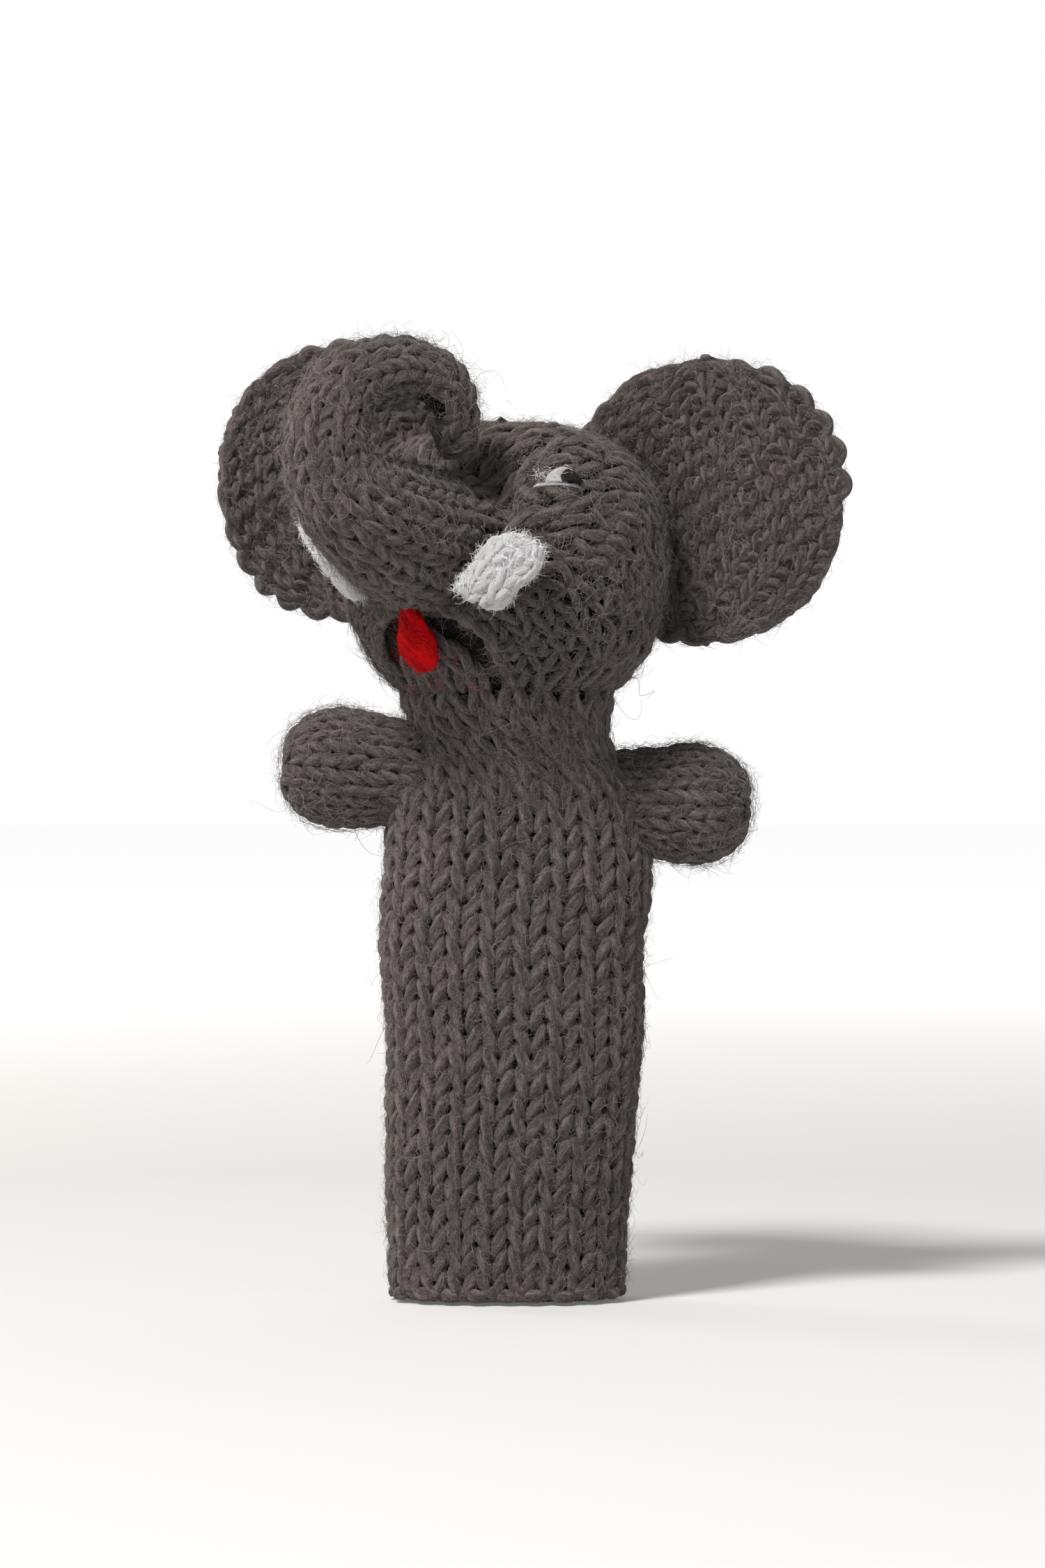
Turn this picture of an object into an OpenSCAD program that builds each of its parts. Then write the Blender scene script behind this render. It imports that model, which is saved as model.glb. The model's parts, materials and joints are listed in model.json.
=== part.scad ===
// Knitted elephant finger puppet.
// A limp knitted sleeve takes one finger.  Above it sit a stuffed head that is turned to one side,
// a curled trunk, two flat ears, two white tusks and two short arms.  Millimetres, +Z up, front on -Y,
// origin at the middle of the sleeve's mouth.  Left is the -X side and right is the +X side.

/* [Sleeve] */
// Width of the sleeve at its mouth
mouth_width = 28.6; // [27:0.2:32]
// Width of the sleeve just under the arms
chest_width = 32.8; // [31:0.2:34]
// Depth of the relaxed sleeve from front to back
sleeve_depth = 16; // [15:0.5:18]
// Height of the shoulder line above the mouth
shoulder_height = 67.6; // [66:0.2:68]
// Thickness of the knitted fabric
knit = 2.2; // [1.8:0.1:2.4]
// Number of bumps along the cast-on edge
edge_bumps = 20; // [16:2:24]

/* [Head] */
// Height of the neck pivot above the mouth
neck_height = 70; // [70:0.5:71]
// Height of the head's centre above the mouth
head_height = 88; // [88:0.5:89]
// How far the face is turned towards -X
face_yaw = 38; // [34:1:40]
// Half the width of the head across the cheeks
head_half_width = 21; // [20:0.1:21.5]
// Half the depth of the head from face to nape
head_half_depth = 18; // [17.5:0.1:18.5]
// Half the height of the head
head_half_height = 18.5; // [18:0.1:19]

/* [Trunk] */
// Radius of the trunk at its root
trunk_root_radius = 6.9; // [6:0.1:7]
// Radius of the curl that the trunk makes
curl_radius = 8; // [7.8:0.1:8.6]

/* [Ears] */
// Half the height of an ear
ear_radius = 18; // [16:0.5:18.5]
// Thickness of a moss-stitch ear
ear_thickness = 2.6; // [2:0.1:2.8]
// Number of scallops round an ear
ear_scallops = 24; // [16:2:28]

/* [Arms] */
// Reach of the left arm from its stitch to its tip
left_arm_reach = 12.6; // [10:0.1:13]
// Reach of the right arm from its stitch to its tip
right_arm_reach = 13; // [10:0.1:14]
// Half the height of an arm
arm_half_height = 7.3; // [6.5:0.1:7.5]
// Half the depth of an arm
arm_half_depth = 5.4; // [4.5:0.1:6]

/* [Hidden] */

WOOL = "#5c5150";
WHITE = "#e6e6e8";
RED = "#c00010";
BLACK = "#140e0d";
FILL = "#f2efe6";
LEFT = -1;
RIGHT = 1;
gap = 0.35;   // clearance between bodies that move
liner = 0.05; // clearance between pieces that lie on one another
skin = 0.15;  // clearance between the head's facets and what is sewn on them

// ---- rings and lofts ---------------------------------------------------------------------
function unit(v) = v / norm(v);
function bulge(c, power) = sign(c) * pow(abs(c), power);
function mix(a, b, t) = a + (b - a) * t;

// A ring about c with half axes a along u and b along v; power 1 is an ellipse, less is boxier.
function ring(c, u, v, a, b, sides, power = 1) =
    [for (i = [0:sides - 1]) let (t = 360 * i / sides)
        c + a * bulge(cos(t), power) * u + b * bulge(sin(t), power) * v];

// A closed solid through rings that all have the same number of points.
module loft(rings) {
    n = len(rings[0]);
    m = len(rings);
    first = [for (i = [0:n - 1]) i];
    last = [for (i = [n - 1:-1:0]) (m - 1) * n + i];
    walls = [for (j = [0:m - 2]) for (i = [0:n - 1])
        let (k = (i + 1) % n, low = j * n, high = low + n)
        each [[low + i, high + i, low + k], [low + k, high + i, high + k]]];
    polyhedron([for (r = rings) each r], concat([first], [last], walls), 10);
}

// ---- sleeve ------------------------------------------------------------------------------
edge_height = 1.8;
cavity_top = 58;
sleeve_boxiness = 0.78;
sleeve_sides = 36;
neck = [0, 0, neck_height];
neck_ball = 6.2;
neck_cup = 8.2;

// The sleeve widens from the mouth to the chest and rounds in towards the shoulder.
function sleeve_half_width(z) =
    mix(mouth_width, chest_width, min(1, z / 50)) / 2 - 0.011 * pow(max(0, z - 50), 2);
function sleeve_half_depth(z) = sleeve_depth / 2 - 0.1 * pow(max(0, z - 62) / 2, 2);

module sleeve_solid(inset, heights)
    loft([for (z = heights)
        ring([0, 0, z], [1, 0, 0], [0, 1, 0],
            sleeve_half_width(z) - inset, sleeve_half_depth(z) - inset, sleeve_sides, sleeve_boxiness)]);

module sleeve_tube() color(WOOL) difference() {
    sleeve_solid(0, [edge_height, 12, 25, 38, 50, 56, 60, 63, 65.5, shoulder_height]);
    sleeve_solid(knit, [edge_height - 1, 12, 25, 38, 50, 55, cavity_top]);
    translate(neck) sphere(neck_cup, $fn = 48);
}

// The cast-on edge is a band of bumps round the mouth.
function edge_outline(grow) =
    [for (i = [0:edge_bumps * 4 - 1])
        let (t = 360 * i / (edge_bumps * 4), r = grow * abs(sin(edge_bumps * t / 2)))
        [(mouth_width / 2 + r) * bulge(cos(t), sleeve_boxiness),
         (sleeve_depth / 2 + r) * bulge(sin(t), sleeve_boxiness)]];

module cast_on_edge() color(WOOL) linear_extrude(edge_height - 0.02) difference() {
    polygon(edge_outline(0.6));
    offset(delta = -knit) polygon(edge_outline(0));
}

// The sewn edge runs up the sleeve's +X side.
seam_radius = 0.9;
seam_top = 50;

module side_seam() color(WOOL) difference() {
    loft([for (z = [edge_height:(seam_top - edge_height) / 8:seam_top])
        ring([sleeve_half_width(z) - 0.2, 0, z], [1, 0, 0], [0, 1, 0], seam_radius, 1.5 * seam_radius, 12)]);
    sleeve_solid(-liner, [0, 12, 25, 38, 50, 56, 60]);
}

// ---- neck --------------------------------------------------------------------------------
gather_radius = 0.5;

module neck_gather_thread() color(BLACK) translate(neck)
    rotate_extrude($fn = 48) translate([neck_ball + gap + gather_radius, 0]) circle(gather_radius, $fn = 16);

module neck_stuffing() color(FILL) translate(neck) sphere(neck_ball, $fn = 48);

// ---- head, drawn with the face on -Y and turned by in_head() ------------------------------
head_centre = [-0.8, -0.6, head_height];
head_low = 3.6 - (head_height - neck_height);
head_sides = 28;

module in_head() rotate([0, 0, -face_yaw]) children();
function to_world(p) =
    [p[0] * cos(face_yaw) + p[1] * sin(face_yaw), p[1] * cos(face_yaw) - p[0] * sin(face_yaw), p[2]];

// Share of the full width at a height above or below the head's centre.
function head_share(dz, half_height) =
    let (n = dz > 0 ? 2.6 : 2.1) pow(1 - pow(abs(dz) / half_height, n), 1 / n);

// The head's outer form, grown by some distance all round.
module head_form(grow, low = head_low) {
    half_height = head_half_height + grow;
    start = asin(low / half_height);
    stop = 86;
    steps = 13;
    loft([for (k = [0:steps])
        let (dz = half_height * sin(mix(start, stop, k / steps)), share = head_share(dz, half_height))
        ring(head_centre + [0, 0, dz], [1, 0, 0], [0, 1, 0],
            (head_half_width + grow) * share, (head_half_depth + grow) * share, head_sides, 0.95)]);
}

// The head's surface in front of a point given across and up, and a place above it.
function head_front(across, z) =
    let (share = head_share(z - head_height, head_half_height), a = (across - head_centre[0]) / head_half_width)
    head_centre[1] - head_half_depth * sqrt(max(0, share * share - a * a));
function head_point(across, z, above) =
    let (p = [across, head_front(across, z), z], q = p - head_centre,
        n = unit([q[0] / pow(head_half_width, 2), q[1] / pow(head_half_depth, 2),
            q[2] / pow(head_half_height, 2)]))
    p + above * n;

trunk_pivot = [head_centre[0], -16.1, 91.4];
trunk_cup = trunk_root_radius + 2 * gap;

// The mouth is an arch, open at the bottom, that is cut through the front of the head.
mouth_low = head_height + head_low - 1;
mouth_peak = 84;
mouth_half_width = 8.4;
arch_start = 4;     // how far in front of the head's middle the arch starts
arch_length = 30;

module mouth_arch(inset) translate([head_centre[0], -arch_start, 0]) rotate([90, 0, 0])
    linear_extrude(arch_length) polygon([for (t = [0:15:180])
        [(mouth_half_width - inset) * bulge(cos(t), 0.75),
         mouth_low + (mouth_peak - mouth_low - inset) * bulge(sin(t), 0.9)]]);

// The level slab that the head's shell is closed with at the neck.
module neck_slab(clearance) translate([0, 0, head_height + head_low])
    cube([60, 60, 2 * (knit + clearance)], center = true);

module head_holes() {
    translate(neck) sphere(neck_cup, $fn = 48);
    translate(trunk_pivot) sphere(trunk_cup, $fn = 48);
}

module head_shell() color(WOOL) in_head() difference() {
    head_form(0);
    difference() {
        head_form(-knit);
        neck_slab(0);
    }
    mouth_arch(0);
    head_holes();
}

module head_stuffing() color(FILL) in_head() difference() {
    head_form(-knit - liner);
    neck_slab(liner);
    head_holes();
}

lining = 0.8;
jaw_proud = 0.3;    // how far the jaw stands out of the head's form
jaw_inset = 1.2;    // the slit between the jaw and the arch

module mouth_lining() color(BLACK) in_head() difference() {
    intersection() {
        head_form(-knit + lining);
        mouth_arch(liner);
    }
    head_form(-knit);
    head_holes();
    neck_slab(0);
}

module lower_jaw() color(WOOL) in_head() difference() {
    intersection() {
        head_form(jaw_proud);
        mouth_arch(jaw_inset);
    }
    head_form(-knit + lining + liner);
    head_holes();
    neck_slab(0);
}

// ---- tongue ------------------------------------------------------------------------------
tongue_root = head_point(head_centre[0], 82.4, 1.6);
tongue_tip = head_point(head_centre[0], 76.4, 2.2);
tongue_half_width = 2.2;
tongue_half_thickness = 0.75;
tongue_taper = 1.25;

// A flat tab with rounded ends from one point to another; taper is the tip's width as a share of the root's.
module tab(from, to, across, half_width, half_thickness, taper, steps, sides = 16) {
    along = unit(to - from);
    normal = unit(cross(along, across));
    side = cross(normal, along);
    loft([for (k = [0:steps])
        let (s = -cos(180 * mix(0.06, 0.94, k / steps)), t = (s + 1) / 2, round = sqrt(1 - s * s))
        ring(mix(from, to, t), side, normal,
            half_width * mix(1, taper, t) * pow(round, 0.55), half_thickness * pow(round, 0.7), sides)]);
}

module tongue() color(RED) in_head()
    tab(tongue_root, tongue_tip, [1, 0, 0], tongue_half_width, tongue_half_thickness, tongue_taper, 9);

// ---- eyes --------------------------------------------------------------------------------
eye_across = 15.1;
eye_height = 99.9;
eye_half_length = 3.2;
eye_half_height = 1.75;
eye_tail = 1.2;     // how far the eye's inner corner is drawn out
eye_droop = 0.9;    // and how far it is drawn down
pupil_radius = 1.35;
pupil_shift = 0.6;

// Something drawn on the XY plane and pushed out through the head's surface at an eye.
module at_eye(side) {
    p = head_point(head_centre[0] + eye_across, eye_height, 0);
    n = unit(head_point(head_centre[0] + eye_across, eye_height, 1) - p);
    mirrored = side == LEFT ? [1, 0, 0] : [0, 0, 0];
    translate([side == LEFT ? 2 * head_centre[0] : 0, 0, 0]) mirror(mirrored) translate(p)
        rotate([0, acos(n[2]), atan2(n[1], n[0])]) rotate([0, 0, 90]) translate([0, 0, -3])
            linear_extrude(6) children();
}

module eye_layer(thickness) difference() {
    head_form(thickness, -head_half_height / 2);
    head_form(skin, -head_half_height / 2 - 1);
}

module eye_white(side) color(WHITE) in_head() intersection() {
    eye_layer(0.7);
    at_eye(side) difference() {
        polygon([for (t = [0:15:345])
            let (inner = pow(min(0, cos(t)), 2))
            [eye_half_length * cos(t) - eye_tail * inner,
             eye_half_height * bulge(sin(t), 1.3) - eye_droop * inner]]);
        translate([pupil_shift, 0]) circle(pupil_radius + liner, $fn = 24);
    }
}

module pupil(side) color(BLACK) in_head() intersection() {
    eye_layer(1);
    at_eye(side) translate([pupil_shift, 0]) circle(pupil_radius, $fn = 24);
}

module left_eye_white() eye_white(LEFT);
module right_eye_white() eye_white(RIGHT);
module left_pupil() pupil(LEFT);
module right_pupil() pupil(RIGHT);

// ---- ears --------------------------------------------------------------------------------
// Each ear is a scalloped disc in an upright plane, sewn to the head along its inner edge.
ear_centres = [[-20, 14, 100.4], [23.4, -1, 97]];
ear_yaws = [8, -6];
ear_leans = [-4, 3];
ear_widths = [0.99, 0.98];
root_angles = [-35, -3];
root_reach = [9, 10.6];
ear_offset = 2;         // clearance between an ear and the head
ear_seam_height = 0.9;  // how far the seam stands out of the head
ear_seam_thickness = ear_thickness - 0.8;
far = 40;               // more than any ear's width

function ear_index(side) = side == LEFT ? 0 : 1;

module ear_plane(side, thickness) {
    i = ear_index(side);
    translate(ear_centres[i]) rotate([ear_leans[i], 0, ear_yaws[i]]) rotate([90, 0, 0])
        linear_extrude(thickness, center = true) children();
}

module ear_outline(side) polygon([for (k = [0:ear_scallops * 4 - 1])
    let (t = 360 * k / (ear_scallops * 4), r = ear_radius - 0.5 + 0.5 * abs(sin(ear_scallops * t / 2)))
    [ear_widths[ear_index(side)] * r * bulge(cos(t), 0.92), r * bulge(sin(t), 0.92)]]);

// The inner edge: a straight root line cuts the disc off on the head's side.
module ear_blank(side) difference() {
    ear_outline(side);
    rotate(root_angles[ear_index(side)])
        translate([side == LEFT ? root_reach[0] : -root_reach[1] - far, -far]) square([far, 2 * far]);
}

module ear(side) color(WOOL) difference() {
    ear_plane(side, ear_thickness) ear_blank(side);
    in_head() head_form(ear_offset, -head_half_height * 0.8);
}

module ear_seam(side) color(WOOL) difference() {
    intersection() {
        ear_plane(side, ear_seam_thickness) ear_blank(side);
        in_head() head_form(ear_seam_height, -head_half_height * 0.7);
    }
    in_head() head_form(skin, -head_half_height * 0.8);
}

module left_ear() ear(LEFT);
module right_ear() ear(RIGHT);
module left_ear_seam() ear_seam(LEFT);
module right_ear_seam() ear_seam(RIGHT);

// ---- tusks -------------------------------------------------------------------------------
tusk_root = head_point(head_centre[0] + 9, 84.6, 2);
tusk_tip = head_point(head_centre[0] + 15.8, 92.4, 3);
tusk_half_width = 3.1;
tusk_half_thickness = 1.2;

module tusk(side) color(WHITE) in_head()
    translate([side == LEFT ? 2 * head_centre[0] : 0, 0, 0]) mirror([side == LEFT ? 1 : 0, 0, 0])
        tab(tusk_root, tusk_tip, cross(tusk_tip - tusk_root, tusk_root - head_centre),
            tusk_half_width, tusk_half_thickness, 1, 10);

module left_tusk() tusk(LEFT);
module right_tusk() tusk(RIGHT);

// ---- arms --------------------------------------------------------------------------------
arm_heights = [63.6, 61];
arm_tilts = [4, -2];
arm_standoff = 1.9;
arm_start = 1.2;        // clearance between an arm and the middle of its stitch
stitch_radius = 1.6;
stitch_thread = 0.45;

function arm_pivot(side) =
    let (z = arm_heights[ear_index(side)]) [side * (sleeve_half_width(z) + arm_standoff), 0, z];

// An egg that points along +X from its pivot, with a blunt tip.
module arm_form(reach, shrink) {
    start = arm_start + shrink;
    length = reach - shrink - start;
    steps = 11;
    loft([for (k = [0:steps])
        let (s = -cos(180 * mix(0.05, 0.95, k / steps)), round = pow(sqrt(1 - s * s), 0.72))
        ring([start + length * (s + 1) / 2, 0, 0], [0, 1, 0], [0, 0, 1],
            (arm_half_depth - shrink) * round, (arm_half_height - shrink) * round, 22, 0.95)]);
}

module at_arm(side) translate(arm_pivot(side)) mirror([side == LEFT ? 1 : 0, 0, 0])
    rotate([0, -arm_tilts[ear_index(side)], 0]) children();

module arm(side, reach) color(WOOL) at_arm(side) difference() {
    arm_form(reach, 0);
    arm_form(reach, knit);
}

module arm_stuffing(side, reach) color(FILL) at_arm(side) arm_form(reach, knit + liner);

module arm_stitch(side) color(WOOL) translate(arm_pivot(side)) rotate([0, 90, 0])
    rotate_extrude($fn = 36) translate([stitch_radius - stitch_thread, 0]) circle(stitch_thread, $fn = 16);

module left_arm() arm(LEFT, left_arm_reach);
module right_arm() arm(RIGHT, right_arm_reach);
module left_arm_stuffing() arm_stuffing(LEFT, left_arm_reach);
module right_arm_stuffing() arm_stuffing(RIGHT, right_arm_reach);
module left_arm_stitch() arm_stitch(LEFT);
module right_arm_stitch() arm_stitch(RIGHT);

// ---- trunk -------------------------------------------------------------------------------
// The trunk leaves the face and winds up, over and down again in a nearly upright plane.
curl_centre = [-13.3, -18.8, 103.2];
curl_slope = 0.4;  // how much the curl's plane comes forward per millimetre to the left
joint_angles = [0, 80, 175];
tip_angle = 286;
tip_length = 16;     // how many degrees of the curl the rounded tip takes
trunk_sides = 18;
trunk_wall = 1.8;

// Distance of the trunk's middle line from the curl's centre at an angle from straight down.
function curl_reach(t) = curl_radius + 2.8 * exp(-t / 45) - 0.0004 * pow(max(0, t - 190), 2);
function curl_point(t) =
    let (r = curl_reach(t), x = -r * sin(t)) curl_centre + [x, curl_slope * x, -r * cos(t)];
function trunk_line(t) =
    curl_point(t) + (to_world(trunk_pivot) - curl_point(0)) * pow(max(0, 1 - t / 50), 2);
function trunk_along(t) = unit(trunk_line(t + 0.5) - trunk_line(t - 0.5));
function trunk_radius(t) = trunk_root_radius - 0.0143 * t;

curl_normal = unit([curl_slope, -1, 0]);
function trunk_ring(centre, along, radius) =
    let (u = unit(cross(curl_normal, along)), v = cross(along, u))
    ring(centre, u, v, radius, radius, trunk_sides);

// A stretch of trunk: a dome about its own pivot, the tube, then a hollow round the next pivot or a blunt tip.
// The stuffing's form (shrink above zero) ends flat, clear of the next pivot's hollow.
module trunk_stretch(index, shrink) {
    from = joint_angles[index];
    is_tip = index == len(joint_angles) - 1;
    to = is_tip ? tip_angle : joint_angles[index + 1];
    dome = trunk_radius(from) - shrink;
    hollow = trunk_radius(to) + gap;
    setback = shrink > 0 ? hollow + shrink : sqrt(pow(hollow + 0.3, 2) - pow(trunk_radius(to), 2));
    rim = is_tip ? to - tip_length : to - 180 / PI * setback / curl_reach(to);
    loft(concat(
        [for (a = [76:-19:19]) trunk_ring(trunk_line(from) - dome * sin(a) * trunk_along(from),
            trunk_along(from), dome * cos(a))],
        [for (k = [0:9]) let (t = mix(from, rim, k / 9))
            trunk_ring(trunk_line(t), trunk_along(t), trunk_radius(t) - shrink)],
        is_tip
            ? [for (a = [25:20:85]) let (t = rim + tip_length * sin(a))
                trunk_ring(trunk_line(t) - shrink * sin(a) * trunk_along(t), trunk_along(t),
                    (trunk_radius(t) - shrink) * cos(a))]
            : shrink > 0 ? []
            : [for (a = [34:17:85])
                trunk_ring(trunk_line(to) - hollow * sin(a) * trunk_along(to),
                    trunk_along(to), hollow * cos(a))]));
}

module trunk_shell(index) color(WOOL) difference() {
    trunk_stretch(index, 0);
    trunk_stretch(index, trunk_wall);
}

module trunk_stuffing(index) color(FILL) trunk_stretch(index, trunk_wall + 2 * liner);

module trunk_base() trunk_shell(0);
module trunk_middle() trunk_shell(1);
module trunk_tip() trunk_shell(2);
module trunk_base_stuffing() trunk_stuffing(0);
module trunk_middle_stuffing() trunk_stuffing(1);
module trunk_tip_stuffing() trunk_stuffing(2);

sleeve_tube();
cast_on_edge();
side_seam();
neck_gather_thread();
neck_stuffing();
head_shell();
head_stuffing();
mouth_lining();
lower_jaw();
tongue();
left_eye_white();
right_eye_white();
left_pupil();
right_pupil();
left_ear_seam();
right_ear_seam();
left_ear();
right_ear();
left_tusk();
right_tusk();
left_arm_stitch();
right_arm_stitch();
left_arm();
right_arm();
left_arm_stuffing();
right_arm_stuffing();
trunk_base();
trunk_middle();
trunk_tip();
trunk_base_stuffing();
trunk_middle_stuffing();
trunk_tip_stuffing();
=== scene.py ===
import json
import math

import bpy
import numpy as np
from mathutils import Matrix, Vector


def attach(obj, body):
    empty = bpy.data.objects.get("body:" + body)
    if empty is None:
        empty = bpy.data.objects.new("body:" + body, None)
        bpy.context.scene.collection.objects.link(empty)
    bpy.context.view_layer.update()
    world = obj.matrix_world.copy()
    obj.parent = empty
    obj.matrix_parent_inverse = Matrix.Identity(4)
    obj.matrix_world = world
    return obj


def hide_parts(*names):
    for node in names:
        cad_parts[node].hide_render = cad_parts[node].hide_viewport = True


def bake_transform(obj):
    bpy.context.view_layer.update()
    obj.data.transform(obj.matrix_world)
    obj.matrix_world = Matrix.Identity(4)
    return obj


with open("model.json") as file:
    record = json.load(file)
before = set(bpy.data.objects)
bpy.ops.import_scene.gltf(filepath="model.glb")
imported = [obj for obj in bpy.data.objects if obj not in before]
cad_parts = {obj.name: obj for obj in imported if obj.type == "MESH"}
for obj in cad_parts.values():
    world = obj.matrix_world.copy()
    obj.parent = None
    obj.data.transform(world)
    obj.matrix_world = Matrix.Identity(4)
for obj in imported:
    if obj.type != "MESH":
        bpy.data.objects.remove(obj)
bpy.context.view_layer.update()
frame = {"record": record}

# Looks of the knitted elephant finger puppet.
#
# Every knitted part is built yarn by yarn.  A "skin" is the smooth surface a fabric lies on, given by a
# function of how far round it (0 to 1) and how far along it (in courses, the rows of stitches).  knit()
# lays one looped yarn per course on a skin, lining() the inside of the fabric, painted dark as shade,
# and scatter() and grow() the loose fibres.  Lengths in the numbers below are millimetres, in the frame
# of the CAD model; M turns them into Blender's metres.  Left is -X, front is -Y.

M = 0.001

# ---- sizes shared with the CAD model -------------------------------------------------------
WALE = 3.74                 # width of one column of stitches on the sleeve
COURSE = 2.7                # height of one row of stitches on the sleeve
YARN = 0.75                 # radius of the body's yarn
NECK = np.array([0.0, 0.0, 70.0])
FACE_YAW = math.radians(38)
ACROSS = np.array([math.cos(FACE_YAW), -math.sin(FACE_YAW), 0.0])     # towards the +X cheek
FORWARD = np.array([-math.sin(FACE_YAW), -math.cos(FACE_YAW), 0.0])   # out of the face
UP = np.array([0.0, 0.0, 1.0])
HEAD = np.array([-1.0, 0.02, 88.0])
HEAD_HALF = (21.0, 18.0, 18.5)      # across, forward, up
TRUNK_ROOT = np.array([-10.54, -12.19, 91.4])


def joint(name):
    return next(j for j in frame["record"]["behaviour"]["joints"] if j["name"] == name)


def pivot(name):
    return np.array(joint(name)["pos_m"]) / M


# ---- small helpers -------------------------------------------------------------------------
def point(x, y, z):
    return np.array([x, y, z], float)


def unit(v):
    return v / np.maximum(np.linalg.norm(v, axis=-1, keepdims=True), 1e-9)


def mix(a, b, t):
    return a + (b - a) * t


def smooth(x, low, high):
    t = np.clip((x - low) / (high - low), 0, 1)
    return t * t * (3 - 2 * t)


def bulge(c, power):
    return np.sign(c) * np.abs(c) ** power


def wobble(p, size, seed):
    """A smooth pseudo-random vector for each point: sums of sine waves about size millimetres long."""
    rng = np.random.default_rng(seed)
    out = np.zeros(p.shape)
    for _ in range(5):
        k = rng.normal(0, 1, 3) * 2 * math.pi / size / 1.7
        out += np.sin(p @ k + rng.uniform(0, 7))[..., None] * rng.normal(0, 0.5, 3)
    return out


# Deep creases, where painted shade darkens the wool: a line's two ends, its reach, and how dark it is.
SHADED_CREASES = ((point(-12.8, -18.6, 105.0), point(-8.0, -16.8, 100.5), 3.7, 1.0),
           (point(14.0, -3.0, 104.0), point(18.3, -2.5, 96.0), 3.0, 0.8),
           (point(18.3, -2.5, 96.0), point(18.6, -2.5, 81.5), 3.2, 0.9))


def crease(p):
    """How much shade is painted on: 0 in the open and 1 in the middle of a crease."""
    dark = np.zeros(len(p))
    for a, b, reach, depth in SHADED_CREASES:
        along = np.clip((p - a) @ (b - a) / ((b - a) @ (b - a)), 0, 1)
        away = np.linalg.norm(p - a - along[:, None] * (b - a), axis=1)
        dark = np.maximum(dark, depth * np.exp(-(away / reach) ** 2))
    return dark


# ---- meshes --------------------------------------------------------------------------------
class Batch:
    """Gathers points, faces and per-point shader values into one mesh."""

    def __init__(self):
        self.points, self.faces, self.yarn, self.tint, self.slots = [], [], [], [], []
        self.count = 0

    def add(self, points, faces, yarn, tint, slot=0):
        self.points.append(points.reshape(-1, 3))
        self.yarn.append(yarn.reshape(-1, 3))
        self.tint.append(np.broadcast_to(tint, points.shape[:-1]).reshape(-1))
        for f in faces:
            self.faces.append(f + self.count)
            self.slots.append(np.full(len(f), slot, np.int32))
        self.count += points.size // 3

    def make(self, name, materials):
        points = np.concatenate(self.points) * M
        points[:, 2] = np.maximum(points[:, 2], 0.0)    # nothing hangs below the edge that it stands on
        mesh = bpy.data.meshes.new(name)
        sizes = np.concatenate([np.full(len(f), f.shape[1], np.int32) for f in self.faces])
        corners = np.concatenate([f.reshape(-1) for f in self.faces]).astype(np.int32)
        mesh.vertices.add(len(points))
        mesh.vertices.foreach_set("co", points.astype(np.float32).reshape(-1))
        mesh.loops.add(len(corners))
        mesh.loops.foreach_set("vertex_index", corners)
        mesh.polygons.add(len(sizes))
        mesh.polygons.foreach_set("loop_start", np.concatenate([[0], np.cumsum(sizes)[:-1]]).astype(np.int32))
        mesh.polygons.foreach_set("loop_total", sizes)
        mesh.polygons.foreach_set("material_index", np.concatenate(self.slots))
        mesh.update(calc_edges=True)
        mesh.validate()
        # the third attribute is painted shade, darkest in the creases
        for label, kind, values in (("yarn", "FLOAT_VECTOR", np.concatenate(self.yarn)),
                                    ("tint", "FLOAT", np.concatenate(self.tint)),
                                    ("painted_crease_shade", "FLOAT", crease(points / M))):
            layer = mesh.attributes.new(label, kind, "POINT")
            layer.data.foreach_set("vector" if kind == "FLOAT_VECTOR" else "value",
                                   values.astype(np.float32).reshape(-1))
        mesh.polygons.foreach_set("use_smooth", np.ones(len(sizes), bool))
        for m in materials:
            mesh.materials.append(m)
        obj = bpy.data.objects.new(name, mesh)
        bpy.context.scene.collection.objects.link(obj)
        return obj


def grid_faces(rows, columns, wrap_rows, wrap_columns):
    """Quads over a grid of points that may close on itself either way."""
    r = np.arange(rows if wrap_rows else rows - 1)
    c = np.arange(columns if wrap_columns else columns - 1)
    r, c = np.meshgrid(r, c, indexing="ij")
    r1, c1 = (r + 1) % rows, (c + 1) % columns
    corners = [r * columns + c, r1 * columns + c, r1 * columns + c1, r * columns + c1]
    return np.stack(corners, -1).reshape(-1, 4)


def tube(batch, path, normal, radius, sides, closed=False, flat=0.85, depth=None, tint=0.5, slot=0,
         phase=0.0):
    """One yarn along a path, a little wider than it is deep; normal points out of the fabric."""
    if closed:
        ahead, behind = np.roll(path, -1, 0), np.roll(path, 1, 0)
    else:
        ahead = np.concatenate([path[1:], 2 * path[-1:] - path[-2:-1]])
        behind = np.concatenate([2 * path[:1] - path[1:2], path[:-1]])
    along = unit(ahead - behind)
    side = unit(np.cross(along, normal))
    out = np.cross(side, along)
    angle = np.arange(sides) * 2 * math.pi / sides
    r = np.broadcast_to(radius, len(path))[:, None, None]
    points = path[:, None] + r * (np.cos(angle)[None, :, None] * side[:, None]
                                  + flat * np.sin(angle)[None, :, None] * out[:, None])
    length = np.concatenate([[0], np.cumsum(np.linalg.norm(path[1:] - path[:-1], axis=1))]) + phase
    depth = np.zeros(len(path)) if depth is None else depth
    yarn = np.stack([np.broadcast_to(length[:, None], points.shape[:2]),
                     np.broadcast_to(angle[None], points.shape[:2]),
                     depth[:, None] + (r * flat)[..., 0] * np.sin(angle)[None]], -1)
    faces = [grid_faces(len(path), sides, closed, True)]
    if not closed:
        faces += [np.arange(sides)[None, ::1], ((len(path) - 1) * sides + np.arange(sides)[::-1])[None]]
    batch.add(points, faces, yarn, np.broadcast_to(tint, points.shape[:2]), slot)


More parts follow.
